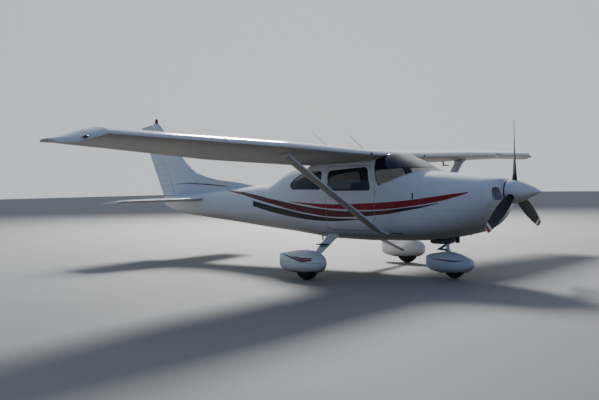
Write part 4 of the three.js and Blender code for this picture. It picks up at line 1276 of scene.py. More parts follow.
@dataclass
class Wings:
    """Both wings with tips, flaps, ailerons and struts."""

    tip: Table = (  # span, set-back of both edges, share of thickness, drop of both edges
        (5200, 0, 0, 1.0, 0, 0), (5300, 25, 0, 0.88, 40, 4), (5390, 110, 95, 0.62, 82, 6),
        (5450, 280, 200, 0.36, 100, 5), (5486, 520, 270, 0.12, 88, 3))
    strut_foot: Place = (2.226, 0.588, 0.638)
    strut_head: Place = (1.900, 2.400, 1.812)
    strut_root: Place = (2.165, 0.480, 0.660)  # the cuff's end, just under the body's skin
    skin_lean: float = 0.725  # how far the body's side leans out for each unit of height there
    cuff_share: float = 0.060
    strut_chord: float = 0.165
    strut_thick: float = 0.066
    bead_pitch: float = 0.118
    bead_high: float = 0.0035

    def build(self) -> None:
        """Build the centre section and both wings."""
        half = WING.root_y - SEAT_GAP
        section = WING.section(WING.root_y, steps=60)
        rings = np.stack([section * [1, 0, 1] + [0, y, 0] for y in np.linspace(-half, half, 9)])
        centre = mesh_object("wing_centre_skin", *lofted(rings), "airframe", [WHITE])
        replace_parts(centre, "wing_centre")
        for side in Side:
            self.panel(side)
            self.tip_cap(side)
            self.surface(side, "flap", FLAP_Y, FLAP_HINGE)
            self.surface(side, "aileron", AILERON_Y, AILERON_HINGE)
            self.strut(side)

    @staticmethod
    def cove_x(span: float, hinge: float) -> float:
        """Station where the wing ends ahead of a hinged surface."""
        middle = WING.point(span, hinge, 0)[0]
        return float(middle + WING.nose_radius(span, hinge) + RUN_GAP)

    def panel(self, side: Side) -> None:
        """The wing's main panel: sections to the trailing edge at its ends, and to the coves between.

        Args:
            side: the side it is on.
        """
        inner, between, outer = FLAP_Y[0] - RUN_GAP, WING.taper_y, AILERON_Y[1] + RUN_GAP
        ends = WING.root_y + 2 * SEAT_GAP
        whole = [WING.section(side.value * y, steps=60) for y in (ends, inner)]
        beyond = [WING.section(side.value * y, steps=60) for y in (outer, WING.end_y)]
        spans = np.linspace(inner, between, 14)
        flap = [WING.section_to_x(side.value * y, self.cove_x(y, FLAP_HINGE), 50) for y in spans]
        spans = np.linspace(between, outer, 18)
        aileron = [WING.section_to_x(side.value * y, self.cove_x(y, AILERON_HINGE), 50) for y in spans]
        skin = mesh_object(f"wing_skin_{side.word}",
                           *together(*(lofted(np.stack(rings)) for rings in (whole, flap, aileron, beyond))),
                           "airframe", [WING_WHITE], 30)
        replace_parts(skin, f"wing_{side.word}")

    def tip_cap(self, side: Side) -> None:
        """The drooped tip: the end section scaled, thinned and lowered along the table.

        Args:
            side: the side it is on.
        """
        base = WING.section(side.value * WING.end_y, steps=60)
        front, back = base[:, 0].max(), base[0, 0]
        share_back = (front - base[:, 0]) / (front - back)
        level = WING.point(side.value * WING.end_y, share_back, 0)[:, 2]
        rows = smooth_table(self.tip, 22)
        lead, trail, thin = rows[:, 1] * MM, rows[:, 2] * MM, rows[:, 3]
        drop = (rows[:, 4:5] * (1 - share_back) + rows[:, 5:6] * share_back) * MM
        span = np.clip(rows[:, 0] * MM, 5.2004, 5.486)
        scale = (front - lead - back - trail) / (front - back)
        x = front - lead[:, None] - share_back * (front - back) * scale[:, None]
        rise = (span - WING.end_y) * math.sin(WING.dihedral)
        z = level + (base[:, 2] - level) * np.maximum(thin, 0.1)[:, None] + rise[:, None] - drop
        rings = np.stack([x, np.broadcast_to(side.value * span[:, None], x.shape), z], axis=-1)
        cap = mesh_object(f"tip_skin_{side.word}", *lofted(rings), "airframe", [WING_WHITE], 50)
        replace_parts(cap, f"wing_tip_{side.word}")

    def surface(self, side: Side, word: str, span: tuple[float, float], hinge: float) -> None:
        """A flap or an aileron, its thin skin stiffened by pressed beads.

        Args:
            side: the side it is on.
            word: flap or aileron.
            span: its two ends.
            hinge: the hinge's share of the chord.
        """
        up = np.array([0, 0, 1.0])
        rows = max(9, int((span[1] - span[0]) / self.bead_pitch * 8))
        rings = []
        for y in np.linspace(*span, rows):
            at = side.value * y
            radius = WING.nose_radius(y, hinge)
            rings.append(hinged_section(WING.point(at, hinge, 0), radius, WING.point(at, 1.0, 0), up))
        stack = np.stack(rings)
        fade = bead_sides(stack)
        fade[[1, 5, -7, -3]] *= 0.4
        stack = ribbed(stack, self.bead_pitch, self.bead_high, fade)
        form = lofted(stack)
        made = mesh_object(f"{word}_skin_{side.word}", *form, f"{side.word}_{word}", [WING_WHITE], 35)
        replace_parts(made, f"{word}_{side.word}")

    def strut(self, side: Side) -> None:
        """The lift strut, a teardrop section, with a cuff at the wing and a bent one down to the body.

        Args:
            side: the side it is on.
        """
        flip = np.array([1, side.value, 1])
        foot, head = np.array(self.strut_foot) * flip, np.array(self.strut_head) * flip
        run = (head - foot) / np.linalg.norm(head - foot)
        ahead = np.array([1.0, 0, 0]) - run[0] * run
        ahead /= np.linalg.norm(ahead)
        up = np.cross(run, ahead)
        a, across = teardrop(40)
        section = self.strut_chord / 2 * a[:, None] * ahead + self.strut_thick / 2 * across[:, None] * up
        share = np.array([0.036, 0.1, 0.25, 0.5, 0.75, 0.95, 1.0])
        rings = foot + (head - foot) * share[:, None, None] + section
        bar = mesh_object(f"strut_skin_{side.word}", *lofted(rings), "airframe", [STRUT_WHITE])
        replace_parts(bar, f"wing_strut_{side.word}")
        along = np.linspace(0, 1, 12)[:, None, None]
        upper = foot + (head - foot) * (0.958 + 0.046 * along) + section * (1.10 + 0.35 * along ** 2)
        mesh_object(f"strut_cuff_head_{side.word}", *lofted(upper), "airframe", [WHITE])
        root = np.array(self.strut_root) * flip
        t = np.linspace(0, 1, 18)[:, None, None]
        bend = (1 - t) ** 2 * root + 2 * t * (1 - t) * foot
        path = bend + t ** 2 * (foot + self.cuff_share * (head - foot))
        down = np.array([0, -self.skin_lean, -side.value])
        flat = self.strut_chord / 2 * a[:, None] * [1, 0, 0] + self.strut_thick / 2 * across[:, None] * down
        eased = t * t * (3 - 2 * t)
        lower = path + (flat + (section - flat) * eased) * (1.10 + 0.22 * (1 - t) ** 2)
        cuff = mesh_object(f"strut_cuff_foot_{side.word}", *lofted(lower), "airframe", [WHITE])
        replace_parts(cuff, f"wing_strut_{side.word}")


@dataclass
class Tail:
    """Fin, rudder, tailplane, elevator and beacon."""

    fin_lead: Points = (
        (-0.900, 1.390), (-1.479, 1.477), (-2.081, 1.537), (-2.525, 1.631), (-2.719, 1.721), (-2.915, 1.857),
        (-3.047, 1.971), (-3.685, 2.600), (-3.770, 2.690), (-3.850, 2.738))
    fin_base: float = 1.150
    fin_half: float = 0.034
    top: float = 2.840
    rudder_foot: tuple[float, float] = (-3.318, 1.232)
    rudder_head: tuple[float, float] = (-4.042, 2.716)
    trail_foot: tuple[float, float] = (-3.700, 1.232)
    trail_head: tuple[float, float] = (-4.420, 2.672)
    rudder_radii: tuple[float, float] = (0.030, 0.017)
    hinge_x: float = -3.020
    hinge_z: float = 1.128
    plan: Table = (  # y, leading edge, trailing edge, half thickness, in millimetres
        (0, -2240, -3379, 46), (1500, -2560, -3379, 32), (1700, -2610, -3379, 28), (1778, -2760, -3370, 14))
    beacon_x: float = -3.900
    rudder_bead: float = 0.0035
    elevator_beads: tuple[float, float] = (0.118, 0.003)  # pitch and height

    def build(self) -> None:
        """Build the tail surfaces and the beacon."""
        self.fin()
        self.rudder()
        self.tailplane()
        self.elevator()
        self.beacon()

    def fin_edges(self, z: Array) -> tuple[Array, Array]:
        """Stations of the fin's leading edge and of its end ahead of the rudder, at heights z.

        Args:
            z: heights in metres.

        Returns:
            Both stations.
        """
        even = np.linspace(self.fin_base, 2.738, 120)
        lead = np.interp(even, [p[1] for p in self.fin_lead], [p[0] for p in self.fin_lead])
        soft = np.convolve(np.pad(lead, 5, mode="edge"), np.ones(11) / 11, mode="valid")
        lead = np.where((even > 1.60) & (even < 2.60), soft, lead)
        slope = (self.rudder_head[0] - self.rudder_foot[0]) / (self.rudder_head[1] - self.rudder_foot[1])
        back = self.rudder_foot[0] + slope * (z - self.rudder_foot[1]) + self.rudder_radii[0] + 2 * RUN_GAP
        return np.interp(z, even, lead), back

    def side_y(self, x: Array, z: Array) -> Array:
        """Half thickness of the fin: a round nose of 40 mm, then a foil, fullest at 35% of its chord.

        Args:
            x: stations in metres.
            z: heights in metres.

        Returns:
            The half width.
        """
        lead, back = self.fin_edges(z)
        rise = (z - self.fin_base) / (self.top - self.fin_base)
        round_top = np.sqrt(np.clip(1 - ((z - 2.708) / 0.031).clip(0, 1) ** 2, 0.02, 1))
        spine = np.minimum(lead, back + 0.90 - 0.42 * rise)
        near = 0.34 * np.sqrt(np.clip((lead - x) / 0.04, 0, 1))
        f = np.clip((spine - x) / (spine - back), 0, 1)
        fall = 1 - 0.14 * np.clip((f - 0.35) / 0.65, 0, 1)
        foil = np.sin(np.minimum(1, f / 0.35) * np.pi / 2) ** 0.55 * fall
        return np.maximum(near, foil) * self.fin_half * (1 - 0.48 * rise) * round_top

    def fin(self) -> None:
        """The fin and its dorsal fillet: a thin section at each height, back to the rudder."""
        heights = np.unique(np.concatenate([np.linspace(self.fin_base, 2.70, 70),
                                            np.linspace(2.70, 2.738, 9)]))
        z = np.broadcast_to(heights[:, None], (len(heights), 60))
        lead, back = self.fin_edges(z)
        x = lead - (lead - back) * (1 - np.cos(np.linspace(0, np.pi, 60))) / 2
        thick = self.side_y(x, z)
        thick[:, 0] = 0
        one = np.stack([x, thick, z], axis=-1)
        other = np.stack([x, -thick, z], axis=-1)[:, 1:][:, ::-1]
        rings = np.concatenate([one, other], axis=1)
        skin = mesh_object("fin_skin", *lofted(rings), "airframe", [WHITE], 45)
        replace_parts(skin, "fin")

    def rudder(self) -> None:
        """The rudder, with level pressed beads on both faces."""
        rows = 110
        share = np.linspace(0, 1, rows)[:, None]
        ends = [np.array([self.rudder_foot, self.rudder_head]), np.array([self.trail_foot, self.trail_head])]
        hinge, trail = (line[0] * (1 - share) + line[1] * share for line in ends)
        radius = np.interp(share[:, 0], (0, 1), self.rudder_radii)
        side = np.array([0, 1.0, 0])
        rings = np.stack([hinged_section(np.array([h[0], 0, h[1]]), r, np.array([t[0], 0, t[1]]), side,
                                         thick=0.006)
                          for h, t, r in zip(hinge, trail, radius)])
        wave = (0.5 + 0.5 * np.cos(2 * np.pi * share[:, 0] * 13)) ** 3
        rings[..., 1] += self.rudder_bead * wave[:, None] * bead_sides(rings)
        skin = mesh_object("rudder_skin", *lofted(rings), "rudder_body", [WHITE], 40)
        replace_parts(skin, "rudder")

    def plane_z(self, x: Array) -> Array:
        """Height of the tailplane's middle at a station."""
        return self.hinge_z + (x - self.hinge_x) * math.tan(math.radians(3))

    @staticmethod
    def hinge_radius(y: float) -> float:
        """Radius of the elevator's nose at a span."""
        return 0.016 if abs(y) > 1.7 else 0.026 - abs(y) / 200

    def tailplane(self) -> None:
        """The fixed tailplane: a foil section that thins towards its rounded ends."""
        table = np.array(self.plan) * MM
        spans = np.concatenate([np.linspace(0, 1.7, 14), np.linspace(1.7, 1.778, 8)[1:]])
        lead = np.interp(spans, table[:, 0], table[:, 1])
        half = np.interp(spans, table[:, 0], table[:, 3])
        spans = np.concatenate([-spans[::-1], spans[1:]])
        lead, half = (np.concatenate([v[::-1], v[1:]]) for v in (lead, half))
        back = self.hinge_x + 0.034
        f = (1 - np.cos(np.linspace(0, np.pi, 36))) / 2
        x = lead[:, None] + (back - lead)[:, None] * f
        radius = np.array([self.hinge_radius(y) for y in spans])
        grow = np.sin(np.minimum(1, f / 0.3) * np.pi / 2) ** 0.6
        thick = half[:, None] * grow
        fall = np.clip((f - 0.5) / 0.5, 0, 1) ** 1.3
        thick = thick * (1 - fall) + radius[:, None] * fall
        z = self.plane_z(x)
        y = np.broadcast_to(spans[:, None], x.shape)
        rings = np.concatenate([np.stack([x, y, z + thick], -1),
                                np.stack([x, y, z - thick], -1)[:, 1:][:, ::-1]], 1)
        skin = mesh_object("tailplane_skin", *lofted(rings), "airframe", [WHITE], 40)
        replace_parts(skin, "tailplane")

    def elevator(self) -> None:
        """Both halves of the elevator and the tube that joins them."""
        parts = []
        up = np.array([0, 0, 1.0])
        for side in Side:
            spans = np.linspace(0.118, 1.770, 90)
            trail = np.interp(spans, (1.70, 1.77), (-3.379, -3.345))
            rings = np.stack([
                hinged_section(np.array([self.hinge_x, side.value * y, self.hinge_z]), self.hinge_radius(y),
                               np.array([t, side.value * y, float(self.plane_z(t))]), up)
                for y, t in zip(spans, trail)])
            parts.append(lofted(ribbed(rings, *self.elevator_beads, bead_sides(rings))))
        ends = [(self.hinge_x, y, self.hinge_z) for y in (-0.13, 0.13)]
        parts.append(tube(ends, 0.016, 24))
        made = mesh_object("elevator_skins", *together(*parts), "elevators", [WHITE], 35)
        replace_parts(made, "elevator")

    def beacon(self) -> None:
        """The red beacon: a dome on a plain ring."""
        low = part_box("beacon")[0][2]
        x = self.beacon_x
        ring = turned([(0, 0), (0.043, 0), (0.043, 0.012), (0.039, 0.016), (0, 0.016)], (x, 0, low), "z", 48)
        mesh_object("beacon_ring", *ring, "airframe", [BARE])
        t = np.linspace(0, np.pi / 2, 12)
        tall = self.top - low - 0.016
        dome = np.column_stack([0.037 * np.cos(t) ** 0.8, tall * np.sin(t)])
        dome[-1, 0] = 0
        glass = turned(np.concatenate([[(0, 0)], dome]), (x, 0, low + 0.016), "z", 48)
        lens = mesh_object("beacon_lens", *glass, "airframe", [BEACON_RED], 60)
        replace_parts(lens, "beacon")


@dataclass(frozen=True)
class WheelForm:
    """A wheel fairing's form: rounded sections y = w·cos|cos|^(2/n-1), z = middle + h·sin|sin|^(2/n-1).

    Columns of the table, in millimetres: station x, half width, top and bottom.
    """

    table: Table
    axle: Place
    square: float = 2.5
    around: int = 64
    stations: int = 72

    def rows(self) -> Array:
        """The sections, eased along x, in metres.

        Returns:
            Columns x, half width, top and bottom.
        """
        rows = smooth_table(self.table, self.stations) * MM
        rows[:, 1] = np.maximum(rows[:, 1], 0.010)
        return rows

    def form(self, depth: float) -> Skin:
        """The closed form, a depth inside the skin.

        Args:
            depth: how far inside the skin.

        Returns:
            Points and faces.
        """
        rows = self.rows()
        turn = circle(self.around)
        a, r = np.cos(turn), np.sin(turn)
        power = 2 / self.square
        middle, tall = (rows[:, 2] + rows[:, 3]) / 2, (rows[:, 2] - rows[:, 3]) / 2
        y = self.axle[1] + np.maximum(rows[:, 1:2] - depth, 0.002) * signed(a, power)
        z = middle[:, None] + np.maximum(tall - depth, 0.002)[:, None] * signed(r, power)
        shrink = 1 - 2 * depth / (rows[0, 0] - rows[-1, 0])
        x = self.axle[0] + (rows[:, 0:1] - self.axle[0]) * shrink + 0 * y
        return lofted(np.stack([x, y, z], axis=-1))

    def side_y(self, x: Array, z: Array) -> Array:
        """Half width of the skin at a station and a height: w·(1-|(z-m)/h|^n)^(1/n).

        Args:
            x: stations in metres.
            z: heights in metres.

        Returns:
            The half width.
        """
        rows = self.rows()[::-1]
        half, top, low = (np.interp(x, rows[:, 0], rows[:, k]) for k in (1, 2, 3))
        share = np.clip(np.abs(2 * z - top - low) / (top - low), 0, 1)
        return half * (1 - share ** self.square) ** (1 / self.square)


MAIN_TABLE = ((1756, 14, 288, 236), (1736, 52, 332, 186), (1676, 86, 386, 138), (1580, 112, 426, 106),
              (1417, 126, 447, 88), (1262, 124, 436, 88), (1080, 102, 408, 104), (935, 62, 382, 136),
              (866, 20, 366, 172))
NOSE_TABLE = ((3408, 14, 246, 198), (3385, 48, 280, 160), (3325, 78, 312, 110), (3215, 102, 352, 76),
              (3060, 114, 388, 62), (2930, 108, 384, 64), (2790, 86, 362, 80), (2680, 54, 338, 108),
              (2614, 18, 308, 148))
NOSE_WHEEL = WheelForm(NOSE_TABLE, (3.087, 0.0, 0.172))
LEG_BULGE = WheelForm(((3102, 24, 606, 576), (3060, 96, 606, 520), (3026, 126, 606, 505),
                       (2930, 150, 606, 497),
                       (2833, 158, 606, 496), (2770, 140, 606, 498), (2744, 96, 606, 512)), (2.930, 0.0, 0.0))
MAIN_WHEELS = {side: WheelForm(MAIN_TABLE, (1.395, side.value * 1.380, 0.210)) for side in Side}


@dataclass
class LandingGear:
    """Main and nose gear: legs, fairings, tyres and wheels."""

    main_leg: Table = (  # centre x, y, z, chord, thickness, in millimetres
        (1165, 400, 624, 212, 62), (1186, 500, 579, 208, 58), (1236, 732, 475, 196, 50),
        (1293, 981, 363, 140, 42), (1352, 1240, 247, 118, 34), (1372, 1292, 222, 96, 26))
    leg_across: tuple[float, float] = (0.409, 0.913)

    def build(self) -> None:
        """Build all three gears."""
        self.nose_gear()
        for side in Side:
            form = MAIN_WHEELS[side]
            axle = form.axle
            self.leg(side, axle)
            shell = self.fairing(f"wheel_fairing_skin_{side.word}", form, (0.210, 0.076), "airframe")
            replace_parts(shell, f"wheel_fairing_{side.word}")
            body = f"main_roller_{side.word}"
            tyre = self.tyre(f"main_tyre_skin_{side.word}", axle, 0.210, 0.076, 0.084, body)
            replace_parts(tyre, f"main_tyre_{side.word}")
            wheel = self.wheel(f"main_wheel_disc_{side.word}", axle, 0.076, 0.0836, body)
            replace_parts(wheel, f"main_wheel_{side.word}")

    def leg(self, side: Side, axle: Place) -> None:
        """The straight sprung leg in its tapering fairing, the axle and its flange, the cuff and the step.

        Args:
            side: the side it is on.
            axle: the wheel's centre.
        """
        rows = smooth_table(self.main_leg, 60) * MM
        a, t = teardrop(36)

        def rings(some: Array, swell: Array) -> Array:
            """Teardrop rings at some of the rows, swollen by a factor.

            Args:
                some: rows of the leg's table.
                swell: the factor.

            Returns:
                The rings.
            """
            x = some[:, 0:1] + some[:, 3:4] / 2 * a * swell
            y = side.value * (some[:, 1:2] + some[:, 4:5] / 2 * t * swell * self.leg_across[0])
            return np.stack([x, y, some[:, 2:3] + some[:, 4:5] / 2 * t * swell * self.leg_across[1]], axis=-1)

        leg = lofted(rings(rows[rows[:, 1] > 0.458], np.ones((1, 1))))
        hub_x, _, hub_z = axle
        pin = tube([(hub_x, side.value * 1.277, hub_z), (hub_x, side.value * 1.44, hub_z)], 0.019, 24)
        flange = [(hub_x, side.value * y, 0.223) for y in (1.2765, 1.2975)]
        plate = tube(flange, 0.034, 24, 0.7)
        made = mesh_object(f"gear_leg_skin_{side.word}", *together(leg, plate, pin), "airframe", [WHITE], 45)
        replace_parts(made, f"gear_leg_{side.word}")
        some = rows[(rows[:, 1] > 0.450) & (rows[:, 1] < 0.575)]
        near = np.linspace(1, 0, len(some))[:, None]
        cuff = lofted(rings(some, 1.03 + 0.22 * near ** 1.5))
        mesh_object(f"leg_cuff_{side.word}", *cuff, "airframe", [WHITE], 50)
        self.step(side)

    @staticmethod
    def step(side: Side) -> None:
        """The boarding step: a level plate with a black non-slip face, cantilevered from the leg.

        Args:
            side: the side it is on.
        """
        corners = [(1.135, 0.742), (1.322, 0.742), (1.322, 0.862), (1.135, 0.862)]
        ring = outline_curve([(x, side.value * y) for x, y in corners], 0.02)
        plate = prism(ring, 2, (0.4705, 0.4835))
        pad = mesh_object(f"leg_step_{side.word}", *plate, "airframe", [BLACK_PLASTIC], 30)
        bevel_edges(pad, 0.002)

    @staticmethod
    def fairing(name: str, form: WheelForm, tyre: tuple[float, float], body: str) -> Piece:
        """A teardrop wheel fairing, hollow, with the slot that the tyre stands in.

        Args:
            name: the piece's name.
            form: its form and its wheel's centre.
            tyre: radius and half width of the tyre.
            body: what it rides on.

        Returns:
            The fairing.
        """
        axle = form.axle
        shell = mesh_object(name, *form.form(0.0), body, [WHITE, DARK], 50)
        reach, half = tyre[0] + 0.014, tyre[1] + 0.012
        turn = circle(40)
        slot_x = axle[0] + reach * signed(np.cos(turn), 0.35)
        slot_y = axle[1] + half * signed(np.sin(turn), 0.35)
        slot = prism(np.column_stack([slot_x, slot_y]), 2, (-0.05, axle[2]))
        cut(shell, [raw_object("inside", *form.form(0.006)), raw_object("slot", *slot)])
        # Faces that look inwards take the unlit black: painted shade inside the fairing.
        middle = Vector((axle[0], axle[1], axle[2] + 0.04))
        for face in shell.data.polygons:
            face.material_index = int((face.center - middle).dot(face.normal) < 0)
        soften(shell, 40)
        bevel_edges(shell, 0.002)
        return shell

    @staticmethod
    def tyre(name: str, axle: Sequence[float], radius: float, half: float, rim: float,
             body: str) -> Piece:
        """A tyre: a rounded section with three ribs of tread, turned about its axle.

        Args:
            name: the piece's name.
            axle: the wheel's centre.
            radius: its radius.
            half: half its width.
            rim: radius of the rim.
            body: the body it rides on.

        Returns:
            The tyre.
        """
        t = np.linspace(0, np.pi, 60)
        along = -half * np.cos(t)
        high = rim + (radius - rim) * np.sin(t) ** 0.42
        bulge = np.abs(np.cos(t)) ** 6 * (half * 0.28)
        along = along - np.sign(along) * bulge * np.clip((rim + 0.02 - high) / 0.02, 0, 1)
        groove = np.exp(-((np.abs(along)[:, None] - np.array([0.0, 0.34]) * half) / 0.0035) ** 2)
        groove = groove.max(axis=1) * (np.sin(t) > 0.6)
        high = high - 0.006 * groove
        profile = np.column_stack([high, along])
        closed = np.concatenate([profile, [[rim, half * 0.55], [rim, -half * 0.55]], profile[:1]])
        return mesh_object(name, *turned(closed, axle, "y", 96), body, [RUBBER], 35)

    @staticmethod
    def wheel(name: str, axle: Sequence[float], half: float, rim: float, body: str) -> Piece:
        """A cast wheel: rim flanges, a dished web, a hub and six bolts on each face.

        Args:
            name: the piece's name.
            axle: the wheel's centre.
            half: half its width.
            rim: radius of the rim.
            body: the body it rides on.

        Returns:
            The wheel.
        """
        side = [(0.0205, -0.60), (0.030, -0.62), (0.034, -0.50), (0.040, -0.30), (rim - 0.016, -0.34),
                (rim - 0.010, -0.62), (rim - 0.004, -0.69), (rim, -0.69)]
        profile = [(r, a * half) for r, a in side] + [(r, -a * half) for r, a in side[::-1]]
        parts = [turned(profile + profile[:1], axle, "y", 72)]
        for turn in np.arange(6) * np.pi / 3:
            x, z = axle[0] + 0.052 * math.cos(turn), axle[2] + 0.052 * math.sin(turn)
            parts.append(tube([(x, axle[1] - 0.62 * half, z), (x, axle[1] + 0.62 * half, z)], 0.0055, 6))
        return mesh_object(name, *together(*parts), body, [ALLOY], 35)

    def nose_gear(self) -> None:
        """The nose wheel, its fairing, the oleo, the fork, the torque link and the upper leg."""
        axle = NOSE_WHEEL.axle
        shell = self.fairing("nose_fairing_skin", NOSE_WHEEL, (0.172, 0.060), "nose_gear")
        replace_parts(shell, "nose_fairing")
        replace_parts(self.tyre("nose_tyre_skin", axle, 0.172, 0.060, 0.070, "nose_roller"), "nose_tyre")
        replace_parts(self.wheel("nose_wheel_disc", axle, 0.060, 0.0696, "nose_roller"), "nose_wheel")
        slope = (2.937 - 2.999) / (0.700 - 0.361)

        def on_axis(z: float, ahead: float = 0.0, y: float = 0.0) -> Place:
            """A point of the raked leg's axis at a height, or beside it."""
            return 2.999 + slope * (z - 0.361) + ahead, y, z

        bar = tube([on_axis(0.360), on_axis(0.6246)], 0.026, 36)
        oleo = mesh_object("oleo_strut", *bar, "nose_gear", [STEEL])
        collar = [tube([on_axis(z), on_axis(z + 0.02)], 0.038, 36) for z in (0.475, 0.392)]
        crown_x = on_axis(0.366)[0]
        fork = []
        for side in Side:
            y = side.value * 0.074
            path = [(crown_x, side.value * 0.02, 0.372), (crown_x + 0.004, y * 0.75, 0.374),
                    (crown_x + 0.012, y, 0.350), (axle[0] - 0.010, y, 0.230), (axle[0], y, axle[2])]
            fork.append(tube(smooth_table(path, 24), 0.016, 16, 0.8))
        fork.append(tube([(axle[0], -0.079, axle[2]), (axle[0], 0.079, axle[2])], 0.019, 24))
        knee = (2.828, 0.0, 0.416)
        links = []
        for end in (on_axis(0.488), on_axis(0.414)):
            for side in Side:
                start = (end[0] - 0.02, side.value * 0.020, end[2])
                links.append(tube([start, (knee[0], side.value * 0.010, knee[2])], [0.017, 0.013], 14))
        links.append(tube([(knee[0], -0.026, knee[2]), (knee[0], 0.026, knee[2])], 0.011, 16))
        steered = mesh_object("nose_fork_skin", *together(*collar, *fork), "nose_gear", [STRUT_WHITE])
        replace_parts(steered, "nose_fork")
        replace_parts(mesh_object("torque_links", *together(*links), "nose_gear", [ALLOY]), "nose_fork")
        upper = [tube([on_axis(0.625), on_axis(0.920)], 0.036, 36),
                 tube([on_axis(0.640), on_axis(0.665)], 0.042, 36)]
        for low, high, at in ((0.862, 0.898, 0.890), (0.672, 0.708, 0.690)):
            plate = [(2.8205, 0, (low + high) / 2), on_axis(at)]
            upper.append(tube(plate, [0.036, 0.030], 24, 0.6))
        leg = mesh_object("nose_leg_mount", *together(*upper), "airframe", [STRUT_WHITE])
        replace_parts(leg, "nose_leg_upper")
        # The bulge is painted dark grey: painted shade, with some exhaust stain.
        bulge = mesh_object("nose_leg_bulge", *LEG_BULGE.form(0.0), "airframe", [SOOT_AND_SHADE_WHITE], 50)
        cut(bulge, [raw_object("leg_hole", *tube([on_axis(0.44), on_axis(0.66)], 0.047, 40))])
        soften(bulge, 40)
        bevel_edges(bulge, 0.003)


